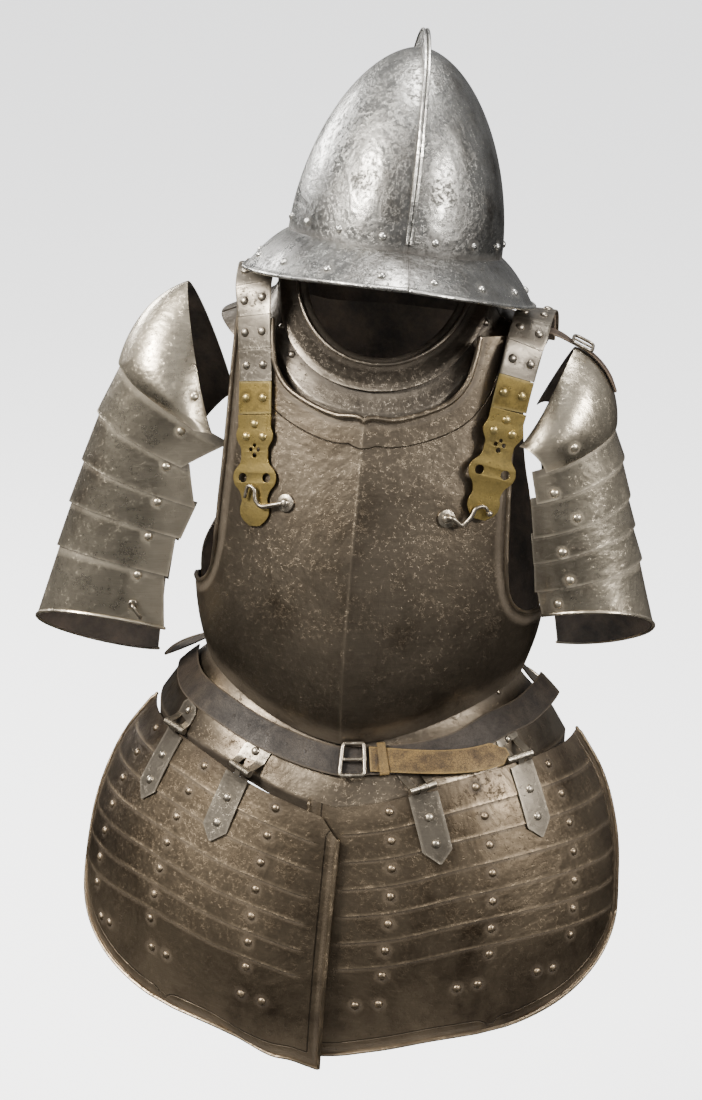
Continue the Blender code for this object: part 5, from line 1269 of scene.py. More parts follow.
# Painted shade where the lame lies under the breastplate and beyond its bend behind the thigh plates; dirt
# round the rivet.
data = marks(v, None, v[:, 0], 0.7 * fade(near(v, low_edge), 0.003),
             np.clip(0.8 * fade(t_of.ravel() - 0.22, 0.12) + soil(v, at, 0.0031)
                     + grow(t_of.ravel() - 1.0, 0.02), 0, 1))
plate = shell(v, grid_quads(170, 52), data, FAULD_WALL, SKIRT_MID)
piece("skirt_lame_worn", [plate, domes(at, n, *SKIRT_HEAD)], [plain_steel, inside_face],
      ["fauld"])
print("trunk plates made")

# %% [markdown]
# ## Thigh plates
#
# Six embossed steps make each plate look like a stack of lames. Grid rows crowd round each step,
# so that its lip stays crisp. Rivets stand in three columns, doubled in the plain band.

# %% Thigh plates
for side, tag in SIDES:
    lips = np.array([(STEP_TOP + k * STEP_PITCH) / TASSET_LEN for k in range(STEPS)])
    fine = (np.array([-24, -15, -8, -3, 1, 5, 10, 18]) * 1e-4 / TASSET_LEN)
    hs = np.unique(np.r_[np.linspace(0, 1, 96), (lips[:, None] + fine).ravel()])
    us = np.unique(np.r_[np.linspace(0, 1, 118), 0.004, 0.012, 0.02, 0.98, 0.988, 0.996])
    face = lambda u, h: tasset_point(side, u, h)
    p, u_of, h_of = surface(face, us, hs)
    v = p.reshape(-1, 3)
    u_of, h_of = u_of.ravel(), h_of.ravel()
    path = np.concatenate([face(np.zeros(120), np.linspace(0, 1, 120)),
                           face(np.linspace(0, 1, 240), np.ones(240))[1:],
                           face(np.ones(120), np.linspace(1, 0, 120))[1:]])
    edge = near(v, path)
    marks_at = []
    for a, b in TASSET_COLS[0 if side < 0 else 1]:
        for k in range(7):
            h = (STEP_TOP + (k - 0.60) * STEP_PITCH) / TASSET_LEN
            u = a + (b - a) * h
            clear = min(abs(u - leaf_share(side, math.radians(d), h)) for d in HINGE_AT[side])
            if k > 2 or clear > 0.055:
                marks_at.append((u, h))
        for off in (-0.03, 0.03):
            marks_at.append((b + off, (STEP_TOP + 6.55 * STEP_PITCH) / TASSET_LEN))
    at, n = spots(face, marks_at, THIGH_MID)
    d = (h_of * TASSET_LEN - STEP_TOP) / STEP_PITCH + 1.0
    plain_u = 0.055 if side < 0 else 0.085
    band = grow(u_of - plain_u, 0.02) * grow(0.965 - u_of, 0.02)
    share = np.mod(d, 1.0)
    # Each step's lip is rubbed bright and given a painted highlight; a painted shade line lies just under
    # it.
    wear_and_sheen = grow(share - 0.88, 0.08) * band * (d < STEPS + 0.001)
    dirt_and_shade = fade(share, 0.14) * band * (d > 0.99) * (d < STEPS + 0.5) * 0.95
    wear_and_sheen = np.maximum(wear_and_sheen, fade(edge, 0.003))
    # Painted shade along the edge roll, at the top under the skirt lame and towards the bottom; dirt round
    # the rivets.
    dirt_and_shade = dirt_and_shade + 0.5 * fade(np.abs(edge - 0.0055), 0.003) + soil(v, at, 0.0040)
    dirt_and_shade = dirt_and_shade + 0.35 * grow(0.07 - h_of, 0.07) + 0.30 * grow(h_of - 0.55, 0.45)
    data = marks(v, edge, u_of, np.clip(wear_and_sheen, 0, 1), np.clip(dirt_and_shade, 0, 1))
    plate = shell(v, grid_quads(len(us), len(hs)), data, TASSET_WALL, THIGH_MID)
    piece("thigh_plate_" + tag, [plate, bar(path, THIGH_ROLL, 8), domes(at, n, *THIGH_HEAD)],
          [thigh_steel, inside_face], ["tasset_" + tag], thigh_body[side], 24.0)
print("thigh plates made")

# %% [markdown]
# ## Arm defences
#
# Each arm has six plates that slide over one another. Shade is painted just under the edge of the
# plate above, and each lower edge is rubbed bright.

# %% Arm plates
for side, tag in SIDES:
    rows_of = ARM_RIGHT if side < 0 else ARM_LEFT
    for k in range(6):
        face = lambda u, v_: lame_point(side, k, u, v_)
        vs = np.linspace(0, 1, 56 if k == 0 else 26)
        us = np.linspace(0, 1, 120)
        p, u_of, v_of = surface(face, us, vs)
        v = p.reshape(-1, 3)
        u_of, v_of = u_of.ravel(), v_of.ravel()
        mid = (side * 0.5 * (rows_of[k][0] + rows_of[k + 1][0]), ARM_Y,
               0.5 * (rows_of[k][1] + rows_of[k + 1][1]) - (0.03 if k == 0 else 0))
        at, n = spots(face, [ARM_RIVET[side][k], (0.90, 0.5) if k else (0.84, 0.68)], mid)
        path = face(us, np.ones(120))
        edge = near(v, np.concatenate([path, face(np.zeros(30), np.linspace(0, 1, 30)),
                                       face(np.ones(30), np.linspace(0, 1, 30))]))
        wear_and_sheen = fade(edge, 0.0028)
        dirt_and_shade = soil(v, at, 0.0042, 0.0035)
        # Painted shade just under the plate above; every plate is also darker towards its front and back
        # ends.
        if k:
            dirt_and_shade = dirt_and_shade + 0.9 * fade(v_of - 0.138, 0.13)
        dirt_and_shade = dirt_and_shade + 0.45 * fade(np.minimum(u_of, 1 - u_of), 0.10)
        data = marks(v, edge, u_of, wear_and_sheen, np.clip(dirt_and_shade, 0, 1))
        made = [shell(v, grid_quads(120, len(vs)), data, LAME_WALL, mid),
                domes(at, n, *ARM_HEAD)]
        if k == 5:
            made.append(bar(path, FLANGE_ROLL, 8))
        piece("arm_%s_plate_%d" % (tag, k + 1), made, [arm_steel, inside_face],
              ["pauldron_%s_plate_%d" % (tag, k + 1)])
print("arm plates made")


# %% [markdown]
# ## Neck plates
#
# A rolled collar stands round the neck on a wider lower plate. Both are read from five rings,
# and each is made as a front and a back half.

# %% Neck plates
def neck_face(az, r, lift_at, up_of, out_of):
    """Point of a neck plate at an angle and ring number, with offsets that depend on the ring."""
    p = np.zeros(az.shape + (3,))
    wrapped = np.where(az <= math.pi, az, az - 2 * math.pi)
    rings = [gorget_ring(k, wrapped) for k in range(5)]
    for k in range(4):
        inside = (r >= k) & ((r < k + 1) | (k == 3))
        mixed = rings[k] * (1 - (r - k))[..., None] + rings[k + 1] * (r - k)[..., None]
        p = np.where(inside[..., None], mixed, p)
    flat = np.hypot(p[..., 0], p[..., 1])
    out = np.interp(r, lift_at, out_of)
    p[..., 0] += out * p[..., 0] / flat
    p[..., 1] += out * p[..., 1] / flat
    p[..., 2] += np.interp(r, lift_at, up_of)
    return p


# Each plate: ring numbers, then how far up and outward its surface is moved at them
bands = {
    "gorget": ((2.02, 2.4, 3, 4), (-0.0014, -0.0008, 0.0, 0.0), (-0.0008, -0.0004, 0.0, 0.0)),
    "gorget_collar": ((0, 1, 1.5, 2.0, 2.22), (0.0, 0.0026, 0.0030, 0.0028, 0.0022),
                      (0.0, 0.0004, 0.0012, 0.0016, 0.0020))}
for label, (lift_at, up_of, out_of) in bands.items():
    for where, lo, hi in (("front", -89.3, 89.3), ("back", 90.7, 269.3)):
        face = lambda a, r: neck_face(a, r, lift_at, up_of, out_of)
        az = np.radians(np.linspace(lo, hi, 150))
        rs = np.linspace(lift_at[0], lift_at[-1], 45)
        if label == "gorget_collar":
            rs[np.argmin(np.abs(rs - 1.0))] = 1.0
        p, a_of, r_of = surface(face, az, rs)
        v = p.reshape(-1, 3)
        made = []
        dirt_and_shade = np.zeros(len(v))
        wear_and_sheen = np.zeros(len(v))
        if label == "gorget_collar":
            rim = face(az, np.full(150, 1.0))
            foot = face(az, np.full(150, lift_at[-1]))
            made.append(bar(rim, COLLAR_ROLL, 10))
            wear_and_sheen = fade(near(v, foot), 0.0025)
            # Painted shade: a dark band along both sides of the collar's roll.
            dirt_and_shade = 0.5 * fade(np.abs(near(v, rim) - 0.005), 0.004)
        else:
            # Painted shade on the lower plate just under the collar.
            dirt_and_shade = 0.8 * fade(r_of.ravel() - 2.2, 0.35)
        if where == "front" and label == "gorget":
            at, n = spots(face, [(math.radians(d), r) for d, r in
                                 ((-50, 2.5), (-64, 2.4), (65, 2.5), (76, 2.4))], NECK_MID)
            made.append(domes(at, n, *NECK_HEAD))
            dirt_and_shade = dirt_and_shade + soil(v, at, 0.0036)
        data = marks(v, None, a_of.ravel(), wear_and_sheen, np.clip(dirt_and_shade, 0, 1))
        made.insert(0, shell(v, grid_quads(150, 45), data, GORGET_WALL, NECK_MID))
        piece("%s_%s_worn" % (label, where), made, [neck_steel, inside_face],
              ["%s_%s" % (label, where)])

# %% [markdown]
# ## Helmet
#
# Two half skulls meet under a double comb. The comb's leaves have a thin turned edge, and the
# brim's edge is turned too.

# %% Helmet halves
turn = np.array(head_turn())
# Section of one comb leaf: distance from the middle, and share of its height or depth below it
COMB_LEAF = ((0.00035, -0.0011), (0.00035, 1.0), (0.0012, 1.03), (0.0019, 1.0), (0.0021, 0.5),
             (0.0021, -0.0011))


def seat(p):
    """From the helmet's own frame to the suit's."""
    return p @ turn[:3, :3].T + turn[:3, 3]


for side, tag in SIDES:
    shift = np.array([side * 0.00015, 0, 0])
    us = np.linspace(0, 1, 130)
    ws = np.r_[np.linspace(0, 1, 84)[:-1], np.linspace(1, 2, 44)]
    u, w = np.meshgrid(us, ws, indexing="ij")
    p = np.where((w <= 1.0)[..., None], skull_point(side, math.pi * u, np.clip(1 - w, 0, 1)),
                 brim_point(side, math.pi * u, np.clip(w - 1, 0, 1)))
    v = seat(p.reshape(-1, 3) + shift)
    w, u = w.ravel(), u.ravel()
    brim_az = math.pi * np.linspace(0.004, 0.996, 200)
    brim_path = seat(brim_point(side, brim_az, np.ones(200)) + shift)
    skull_at, skull_n = spots(lambda a, b: skull_point(side, a, b),
                              [(math.radians(d), 0.055) for d in (14, 38, 62, 86, 110, 134, 160)],
                              (0, 0, 0))
    brim_at, brim_n = spots(lambda a, b: brim_point(side, a, b),
                            [(math.radians(d), 0.72) for d in (10, 32, 56, 82, 108, 134, 160)],
                            (0, 0, -0.9))
    at = seat(np.concatenate([skull_at, brim_at]) + shift)
    n = np.concatenate([skull_n, brim_n]) @ turn[:3, :3].T
    wear_and_sheen = fade(near(v, brim_path), 0.003)
    # Dirt round the rivets, and painted shade in the crease of the brim and along the foot of the comb.
    dirt_and_shade = soil(v, at, 0.0036, 0.004) + 0.7 * fade(np.abs(w - 1.0), 0.035)
    dirt_and_shade = dirt_and_shade + 0.6 * fade(np.abs(p.reshape(-1, 3)[:, 0]), 0.004)
    data = marks(v, None, u, wear_and_sheen, np.clip(dirt_and_shade, 0, 1))
    inside = seat(np.array([side * 0.03, 0, 0.02]))
    skull = shell(v, grid_quads(len(us), len(ws)), data, HELMET_WALL, inside)
    t = np.linspace(0.02, 0.98, 130)
    e = math.pi * t
    c = np.abs(np.cos(e)) ** (2.0 / SKULL_N) * np.sign(np.cos(e))
    q = np.sin(e) ** (2.0 / SKULL_N)
    spine = np.stack([0 * t, -SKULL_L * c, SKULL_H * q], 1)
    h = COMB_H * ease((0.5 - np.abs(t - 0.53)) / 0.44) + 0.002
    normal = np.stack([0 * t, spine[:, 1] / SKULL_L ** 2, spine[:, 2] / SKULL_H ** 2], 1)
    normal /= np.linalg.norm(normal, axis=1, keepdims=True)
    loop = []
    for x, lift in COMB_LEAF:
        rise = np.full(len(t), lift) if lift < 0 else h * lift
        loop.append(spine + normal * rise[:, None] + np.array([side * x, 0, 0]))
    leaf = np.stack(loop, 1)
    ends = leaf[[0, -1]].mean(1, keepdims=True).repeat(6, 1)
    leaf = np.concatenate([ends[:1], leaf, ends[1:]])
    lq = grid_quads(len(leaf), 6, 0, True)
    comb = plain(seat(leaf.reshape(-1, 3)), lq if side > 0 else lq[:, ::-1], 0.25)
    comb_edge = seat(spine + normal * (h - 0.0004)[:, None] + np.array([side * 0.0019, 0, 0]))
    piece("helmet_%s_worn" % tag,
          [skull, comb, bar(comb_edge, 0.0014, 8), bar(brim_path, BRIM_ROLL, 10),
           domes(at, n, *SKULL_HEAD)],
          [head_steel, inside_face], ["helmet_%s_half" % tag], sharp=26.0)
print("helmet made")

# %% [markdown]
# ## Shoulder straps
#
# A leather strap carries six riveted steel scales, a brass plate and a pierced brass tip. All of
# them follow one curve over the shoulder, so its frame is sampled once and read by each.

# %% Strap frames
def strap_table(side, count=420):
    """The strap's centre, run, width and face directions along its length."""
    total = strap_frame(side, 0.1)[4]
    s = np.linspace(0, total, count)
    rows = [strap_frame(side, float(x)) for x in s]
    return s, [np.array([r[k] for r in rows]) for k in range(4)]


def on_strap(table, s, w, h):
    """Points at distance s, width w and height h on a strap."""
    at, cols = table
    out = []
    for c in cols:
        out.append(np.stack([np.interp(s, at, c[:, k]) for k in range(3)], -1))
    return out[0] + out[2] * w[..., None] + out[3] * h[..., None]


def strip(read, rows, cols, wall, inside, wear_and_sheen=0.6, dirt_and_shade=0.0, crown=0.0006):
    """Band with a slight crown, eased edges and its own wear along them."""
    s, k = np.meshgrid(rows, cols, indexing="ij")
    ease_edge = grow(np.abs(k) - 0.90, 0.10) ** 2
    p = read(s, k, crown * (1 - k ** 2) - 0.0005 * ease_edge)
    v = p.reshape(-1, 3)
    rim = np.concatenate([p[0], p[-1], p[:, 0], p[:, -1]])
    edge = near(v, rim)
    data = marks(v, edge, s.ravel(), wear_and_sheen * fade(edge, 0.0022), dirt_and_shade)
    return one_look(shell(v, grid_quads(len(rows), len(cols)), data, wall, inside))


# %% Leather, scales and brass plates
cols = np.r_[-1, -0.97, -0.92, np.linspace(-0.85, 0.85, 9), 0.92, 0.97, 1]
straps = {side: strap_table(side) for side in (-1, 1)}
for side, tag in SIDES:
    table = straps[side]
    total = float(table[0][-1])
    start = total - TIP_LEN - 0.032
    inside = np.array([side * 0.12, 0.0, -0.2])
    lo, hi = start - SCALE_PITCH * 6 - 0.006, total - 0.104
    hide = strip(lambda s, k, h: on_strap(table, s, k * (STRAP_W - 0.006) / 2, h + 0.0016),
                 np.linspace(lo, hi, 150), cols, 0.0019, inside, 0.7)
    piece("strap_%s_hide" % tag, [hide], [strap_hide], ["strap_leather_" + tag])
    plates = [("strap_scale_%s_%d" % (tag, k + 1), start - SCALE_PITCH * (k + 1),
               start - SCALE_PITCH * k, scale_steel, "scale_steel") for k in range(6)]
    plates.append(("strap_brass_plate_" + tag, start, start + SCALE_PITCH, old_brass, "brass"))
    for name, s0, s1, look, slot in plates:
        one = strip(lambda s, k, h: on_strap(table, s, k * STRAP_W / 2, h + 0.0036),
                    np.linspace(s0 + 0.0003, s1 - 0.0003, 22), cols, 0.0012, inside, 0.8, 0.1)
        mid = np.full(2, (s0 + s1) / 2)
        w = np.array([-0.0095, 0.0095])
        at = on_strap(table, mid, w, np.full(2, 0.0039))
        n = on_strap(table, mid, w, np.full(2, 0.0049)) - at
        one[2][:, 3] = np.clip(one[2][:, 3] + soil(one[0], at, 0.0042), 0, 1)
        piece(name + "_worn", [one, domes(at, n, *SCALE_HEAD)], [look, inside_face], [name])


# %% Pierced brass tips
# Holes of a tip: across, down and radius
TIP_HOLES = ((0.0, 0.0385, 0.0026), (-0.0042, 0.0330, 0.0023), (0.0042, 0.0330, 0.0023),
             (-0.0135, 0.0600, 0.0048), (0.0135, 0.0600, 0.0048), (0.0, 0.0290, 0.0021))


def pierced(outline, holes, thick):
    """Flat plate with round holes, filled by a flat curve and read back as faces."""
    data = bpy.data.curves.new("flat", "CURVE")
    data.dimensions = "2D"
    data.fill_mode = "BOTH"
    data.extrude = thick / 2 - 0.00015
    data.bevel_depth = 0.00015
    for ring in [outline] + holes:
        spline = data.splines.new("POLY")
        spline.points.add(len(ring) - 1)
        spline.points.foreach_set("co", np.c_[ring, np.zeros(len(ring)), np.ones(len(ring))].ravel())
        spline.use_cyclic_u = True
    ob = bpy.data.objects.new("flat", data)
    bpy.context.scene.collection.objects.link(ob)
    mesh = bpy.data.meshes.new_from_object(ob.evaluated_get(bpy.context.evaluated_depsgraph_get()))
    mesh.calc_loop_triangles()
    v = np.zeros(len(mesh.vertices) * 3)
    mesh.vertices.foreach_get("co", v)
    tri = np.zeros(len(mesh.loop_triangles) * 3, int)
    mesh.loop_triangles.foreach_get("vertices", tri)
    bpy.data.objects.remove(ob)
    bpy.data.curves.remove(data)
    bpy.data.meshes.remove(mesh)
    tri = tri.reshape(-1, 3)
    return v.reshape(-1, 3), np.c_[tri, tri[:, 2]]


def circle(x, y, r, n=26):
    """Points of a circle, for a round hole."""
    a = np.linspace(0, 2 * math.pi, n, endpoint=False)
    return np.stack([x + r * np.cos(a), y + r * np.sin(a)], 1)


for side, tag in SIDES:
    p, run, wide, face = tip_frame(side)
    down = np.linspace(0, 0.106, 130)
    width = np.interp(down, [r[0] for r in TIP], [r[1] for r in TIP])
    width = np.convolve(np.pad(width, 3, "edge"), np.ones(7) / 7, "valid")
    outline = np.concatenate([np.stack([width, down], 1), np.stack([-width, down], 1)[::-1]])
    holes = [circle(x, y, r) for x, y, r in TIP_HOLES]
    flat, q = pierced(outline, holes, 0.0014)
    frame3 = np.stack([wide, run, face])
    v = p + np.array(face) * 0.0034 + flat @ frame3
    if np.linalg.det(frame3) < 0:
        q = q[:, [2, 1, 0, 0]]
    v, q, data = weld(v, q, marks(v, None, flat[:, 1], 0.15, 0.1), 1e-6)
    heads = [(0.0, 0.0085), (-0.0095, 0.0205), (0.0095, 0.0205)]
    at = np.array([p + run * d + wide * w + face * 0.0040 for w, d in heads])
    piece("strap_tip_%s_worn" % tag,
          [(v, q, data, np.zeros(len(q), int)), domes(at, np.repeat([face], 3, 0), *SCALE_HEAD)],
          [old_brass], ["strap_brass_tip_" + tag])


# %% Swivel hooks
def lathe(mid, axis, radius, height, sides=32, value=0.5):
    """Round body turned about an axis from radius and height pairs."""
    axis = np.asarray(axis, float) / np.linalg.norm(axis)
    x = np.cross(axis, [0.3, 0.2, 0.9])
    x /= np.linalg.norm(x)
    y = np.cross(axis, x)
    a = np.linspace(0, 2 * math.pi, sides, endpoint=False)
    ring = x * np.cos(a)[:, None] + y * np.sin(a)[:, None]
    v = (np.asarray(mid) + ring[None] * np.asarray(radius)[:, None, None]
         + axis * np.asarray(height)[:, None, None])
    v, q, data, kinds = plain(v.reshape(-1, 3), grid_quads(len(radius), sides, 0, True), value)
    v, q, data = weld(v, q, data)
    return v, q, data, kinds


def smooth_path(points, count=60):
    """Smooth curve through a few points."""
    p = np.asarray(points, float)
    at = np.r_[0, np.cumsum(np.linalg.norm(np.diff(p, axis=0), axis=1))]
    rows = [(at[i], *p[i]) for i in range(len(p))]
    t = np.linspace(0, at[-1], count)
    return np.stack([column(rows, t, k) for k in (1, 2, 3)], 1)


for side, cx, cz, path in HOOKS:
    tag = dict(SIDES)[side]
    thick = np.interp(np.linspace(0, 1, 60), (0, 0.5, 1), (0.0026, 0.0021, 0.0016))
    phi = math.asin(cx / float(column(TRUNK, cz, 1)))
    at, n = spots(trunk, [(side * phi, cz)], (0, 0, cz))
    at, n = at[0], n[0]
    p, run, wide, face = tip_frame(side)
    rod = smooth_path([at + n * 0.0036] + [p + wide * w + run * d + face * h for w, d, h in path])
    washer = lathe(at, n, (0, 0.0084, 0.0088, 0.0084, 0.0062, 0.0052, 0.0050, 0.0),
                   (0.0007, 0.0007, 0.0016, 0.0026, 0.0032, 0.0034, 0.0040, 0.0044))
    knob = lathe(rod[-1], rod[-1] - rod[-4], (0, 0.0024, 0.0032, 0.0024, 0),
                 (-0.003, -0.0018, 0.0003, 0.0024, 0.0032))
    piece("strap_hook_%s_worn" % tag,
          [washer, bar(rod, thick, 12), domes([at + n * 0.0040], [n], 0.0044, 0.0032)]
          + ([knob] if side > 0 else []),
          [fitting_steel], ["strap_hook_" + tag])
print("straps made")

# %% [markdown]
# ## Waist belt
#
# The belt stands just off the skirt lame. Its free end runs through a leather keeper and droops,
# paler and more worn than the rest.

# %% Belt frames
belt_at = np.linspace(-86.0, 86.0, 300)
low_row = np.array([belt_point(math.radians(a), -BELT_HALF, 0.0) for a in belt_at])
top_row = np.array([belt_point(math.radians(a), BELT_HALF, 0.0) for a in belt_at])
off_row = np.array([belt_point(math.radians(a), 0.0, 0.01) for a in belt_at])
tall_row = (top_row - low_row) / (2 * BELT_HALF)
mid_row = (top_row + low_row) / 2
face_row = (off_row - mid_row) / 0.01


def on_belt(deg, up_, off):
    """Points of the belt's frame by angle, height and standoff."""
    read = lambda rows: np.stack([np.interp(deg, belt_at, rows[:, k]) for k in range(3)], -1)
    return read(mid_row) + read(tall_row) * up_[..., None] + read(face_row) * off[..., None]


# %% Belt, tail, keeper and buckle
inside = np.array([0, 0.0, -0.44])
holes = (-37.5, -31.0, -24.3, -17.6, -11.0)
band = strip(lambda s, k, h: on_belt(s, k * BELT_HALF, h + BELT_OFF - 0.0005), belt_at, cols, 0.0019,
             inside, 0.8)
low_spot, high_spot = (np.array([on_belt(np.array(a), np.array(0.0), np.array(off)) for a in holes])
                       for off in (BELT_OFF, BELT_OFF + 0.01))
# Each hole is a low disc of the second leather, fully darkened: painted shade in place of a real hole.
pits = domes(low_spot, high_spot - low_spot, 0.0019, 0.00035, 1)
pits[2][:, 3] = 1.0
pits[2][:, 2] = 0.0
piece("waist_belt_worn", [band, pits], [belt_hide, strap_hide], ["waist_belt"])


def tail_face(q, k, h):
    """Drooping free end of the belt."""
    half = 0.0125 * (1.0 - 0.65 * ease((q - 0.91) / 0.09))
    return on_belt(10.0 + 38.0 * q, 0.0005 - 0.0290 * q ** 1.35 + half * k,
                   BELT_OFF + 0.0032 + 0.0070 * q * q + h - 0.0004)


tail = strip(tail_face, np.linspace(0, 1, 120), cols, 0.0021, inside, 0.9)
piece("belt_tail_worn", [tail], [tail_hide], ["belt_tail"])
outline = [(-0.0163, 0.0062), (-0.0164, 0.0074), (-0.0162, 0.0087), (-0.0157, 0.0096),
           (-0.0150, 0.0100)]
outline = outline + [(0.0, 0.0101)] + [(-a, b) for a, b in outline[::-1]]
ups, offs = np.array([o[0] for o in outline]), np.array([o[1] for o in outline])
a_grid, k_grid = np.meshgrid(np.linspace(12.6, 15.2, 9), np.arange(len(ups)), indexing="ij")
loop = on_belt(a_grid, ups[k_grid], offs[k_grid]).reshape(-1, 3)
keeper = shell(loop, grid_quads(9, len(ups)), marks(loop, wear_and_sheen=0.3), 0.0010,
               on_belt(np.array(13.9), np.array(0.0), np.array(0.0)))
piece("belt_keeper_worn", [one_look(keeper)], [tail_hide], ["belt_keeper"])
corner = np.array([(1.2, -0.0160), (1.2, 0.0160), (8.4, 0.0160), (8.4, -0.0160)])
path = []
for i in range(4):
    c, nxt, prev = corner[i], corner[(i + 1) % 4], corner[i - 1]
    for s in np.linspace(0, 1, 9):
        path.append(c + (prev - c) * 0.14 * (1 - s) ** 2 + (nxt - c) * 0.14 * s ** 2)
path = np.array(path)
frame_path = on_belt(path[:, 0], path[:, 1], np.full(len(path), 0.0090))
prong = on_belt(np.linspace(1.2, 8.6, 20), np.zeros(20), 0.0092 + 0.0006 * np.sin(np.linspace(0, 3.1, 20)))
piece("belt_buckle_worn", [bar(frame_path, 0.0020, 14, True), bar(prong, 0.0016, 10)], [fitting_steel],
      ["belt_buckle"])
print("belt made")

# %% [markdown]
# ## Hinges of the thigh plates
#
# Each hinge has an upper leaf on the skirt lame, a lower leaf on the thigh plate and three
# knuckles on one pin. The leaves bend over the plates, so their points are solved on them.


# %% Hinge leaves
def leaf_sheet(side, deg, low):
    """Leaf of a hinge as a fine grid with its tongue or ears at the knuckles."""
    cut = 0.24 if low else 0.41
    ks = np.r_[np.linspace(-1, -cut, 4), np.linspace(-cut, cut, 4)[1:], np.linspace(cut, 1, 4)[1:]]
    knee = [0.0014, 0.0028, 0.0042, 0.0056]
    if low:
        ds = knee + list(np.linspace(0.0075, 0.0575, 16)) + [0.0608, 0.064, 0.0672, 0.0700]
        half = np.interp(ds, (0.0575, 0.0700), (HINGE_W / 2, 0.0010))
    else:
        ds = knee + [0.0075, 0.0098, 0.0124, 0.0150, 0.0172, 0.0195]
        half = np.interp(ds, (0.0150, 0.0195), (HINGE_W / 2, 0.0095))
    pts = np.array([[leaf_point(side, deg, low, k * half[i], d) for k in ks] for i, d in enumerate(ds)])
    all_q = grid_quads(len(ds), len(ks)).reshape(len(ds) - 1, len(ks) - 1, 4)
    keep = np.ones((len(ds) - 1, len(ks) - 1), bool)
    middle = (np.arange(len(ks) - 1) >= 3) & (np.arange(len(ks) - 1) < 6)
    keep[:3] = middle if low else ~middle
    v = pts.reshape(-1, 3)
    q = all_q[keep]
    used = np.unique(q)
    back_to = np.zeros(len(v), int)
    back_to[used] = np.arange(len(used))
    rim = np.concatenate([pts[3:, 0], pts[3:, -1], pts[-1]])
    v = v[used]
    return v, back_to[q], marks(v, wear_and_sheen=0.8 * fade(near(v, rim), 0.0035), dirt_and_shade=0.15)


for side, word in SIDES:
    for which in (0, 1):
        deg = HINGE_AT[side][which]
        tag = "%s_%s" % (word, ("inner", "outer")[which])
        mid = hinge_spot(side, deg)
        along = hinge_line(side)[1]
        third = HINGE_W / 3
        for low in (False, True):
            v, q, data = leaf_sheet(side, deg, low)
            made = [one_look(shell(v, q, data, 0.0012, mid * np.array([0.6, 0.6, 1.0])))]
            if low:
                w = third / 2 - 0.0004
                made.append(lathe(mid, along, (0.0019, 0.0034, HINGE_R, HINGE_R, 0.0034, 0.0019, 0.0019),
                                  (-w, -w, -w + 0.0002, w - 0.0002, w, w, -w)))
            else:
                for k in (-1, 1):
                    w = third / 2
                    made.append(lathe(mid + along * third * k, along,
                                      (0, 0.0034, HINGE_R, HINGE_R, 0.0034, 0),
                                      (-w, -w, -w + 0.0002, w - 0.0002, w, w)))
                reach = along * HINGE_W * 0.45
                made.append(bar([mid - reach, mid + reach], 0.0015, 10))
            heads = []
            for d in ((0.0275, 0.0515) if low else LEAF_RIVET[side, which]):
                p = leaf_point(side, deg, low, 0.0, d)
                across = leaf_point(side, deg, low, 0.004, d) - p
                n = np.cross(across, leaf_point(side, deg, low, 0.0, d + 0.002) - p)
                n = n if np.dot(n, mid * np.array([1, 1, 0])) > 0 else -n
                heads.append((p, n))
            if heads:
                made.append(domes([h[0] for h in heads], [h[1] for h in heads],
                                  *(SCALE_HEAD if low or side < 0 else LEAF_HEAD)))
            kind = "lower" if low else "upper"
            piece("hinge_%s_%s_worn" % (kind, tag), made, [fitting_steel], ["hinge_%s_%s" % (kind, tag)],
                  thigh_body[side] if low else suit_body)
print("hinges made")


# %% [markdown]
# ## Arm strap, its buckle and the catch
#
# The strap hangs over the top plate of the left arm. The catch sits at the foot of the right arm.

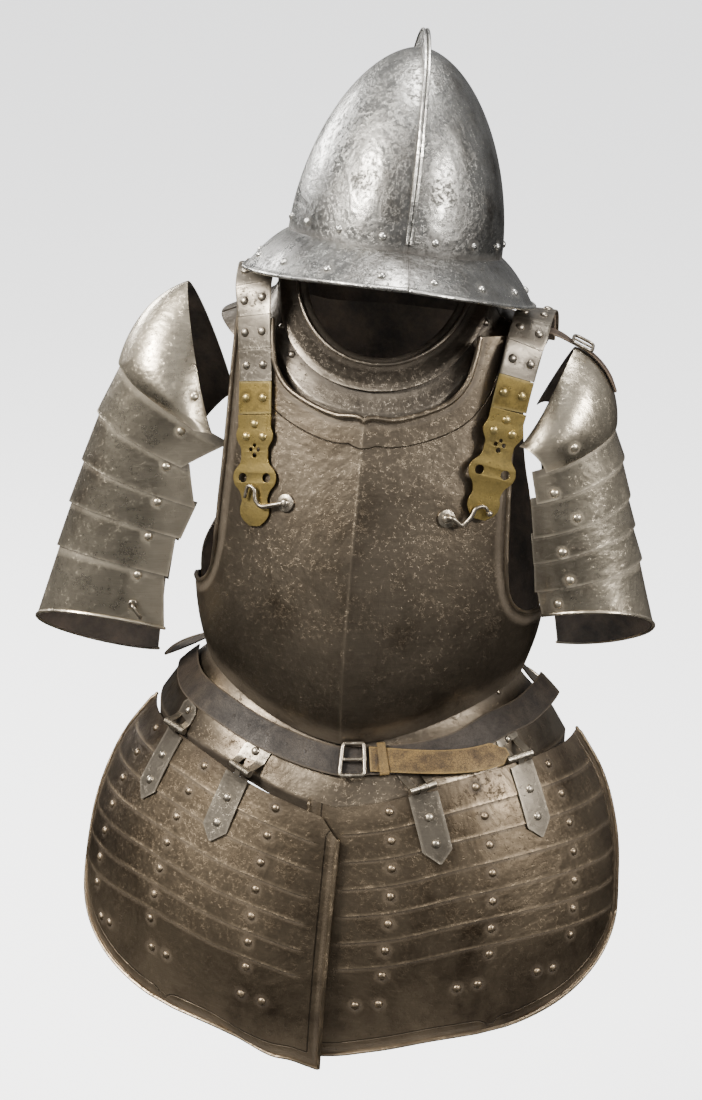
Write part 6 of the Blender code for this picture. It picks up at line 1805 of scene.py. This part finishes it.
# %% Arm strap, buckle and catch
rows = np.array([[arm_strap_point(i, w, 0.0034) for w in (-0.0085, 0.0, 0.0085)] for i in range(8)])
fine_at = np.linspace(0, 7, 70)
mid_line, side_line = (
    np.stack([column([(i, *line[i]) for i in range(8)], fine_at, k) for k in (1, 2, 3)], 1)
    for line in (rows[:, 1], rows[:, 2] - rows[:, 0]))
side_line = side_line / 2
side_line = side_line * np.interp(fine_at, (6.2, 7.0), (1.0, 0.53))[:, None]
path_n = np.cross(np.gradient(mid_line, axis=0), side_line)
path_n /= np.linalg.norm(path_n, axis=1, keepdims=True)
path_n *= np.sign(path_n[:, 2:3] + 1e-9)


def arm_strap_face(s, k, h):
    """Points of the arm strap by row, width and height."""
    pick = lambda a: np.stack([np.interp(s, fine_at, a[:, j]) for j in range(3)], -1)
    return pick(mid_line) + pick(side_line) * k[..., None] + pick(path_n) * (h - 0.0003)[..., None]


band = strip(arm_strap_face, fine_at, cols, 0.0018, (0.14, 0, -0.16), 0.8, 0.0, 0.0004)
piece("arm_strap_worn", [band], [strap_hide], ["pauldron_left_strap"])
a, b = arm_strap_point(2, 0.0, 0.0068), arm_strap_point(3, 0.0, 0.0068)
mid = (a + b) / 2
run = (b - a) / np.linalg.norm(b - a)
cross = np.array([0.0, 1.0, 0.0])
turns = np.linspace(0, 2 * math.pi, 48, endpoint=False)
sq = lambda x: np.sign(x) * np.abs(x) ** 0.45
path = mid + run * 0.0105 * sq(np.cos(turns))[:, None] + cross * 0.0125 * sq(np.sin(turns))[:, None]
tongue = bar([mid - run * 0.0105, mid + run * 0.0105], 0.0012, 10)
piece("arm_buckle_worn", [bar(path, 0.0016, 12, True), tongue], [fitting_steel],
      ["pauldron_left_buckle"])
at, n = spots(lambda u, v_: lame_point(-1, 5, u, v_), [(0.075, 0.72)], (-0.262, ARM_Y, -0.38))
p, n = at[0], n[0]
down = np.array([0.55, 0.0, -0.83])
down = down - n * np.dot(down, n)
down /= np.linalg.norm(down)
rod = smooth_path([p + n * out + down * along for out, along in
                   ((0.0020, 0.0), (0.0066, 0.0), (0.0078, 0.006), (0.0070, 0.014))], 30)
foot = lathe(p, n, (0, 0.0050, 0.0050, 0.0042, 0), (0.0003, 0.0003, 0.0020, 0.0027, 0.0029))
piece("arm_catch_worn", [foot, bar(rod, 0.0019, 12)], [fitting_steel], ["pauldron_right_catch"])

# %% [markdown]
# ## Bounds
#
# The bounds of the visible pieces are measured and printed.

# %% Sizes and finish
low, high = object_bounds()
print("visual", [round(x, 4) for x in (*low, *high)])
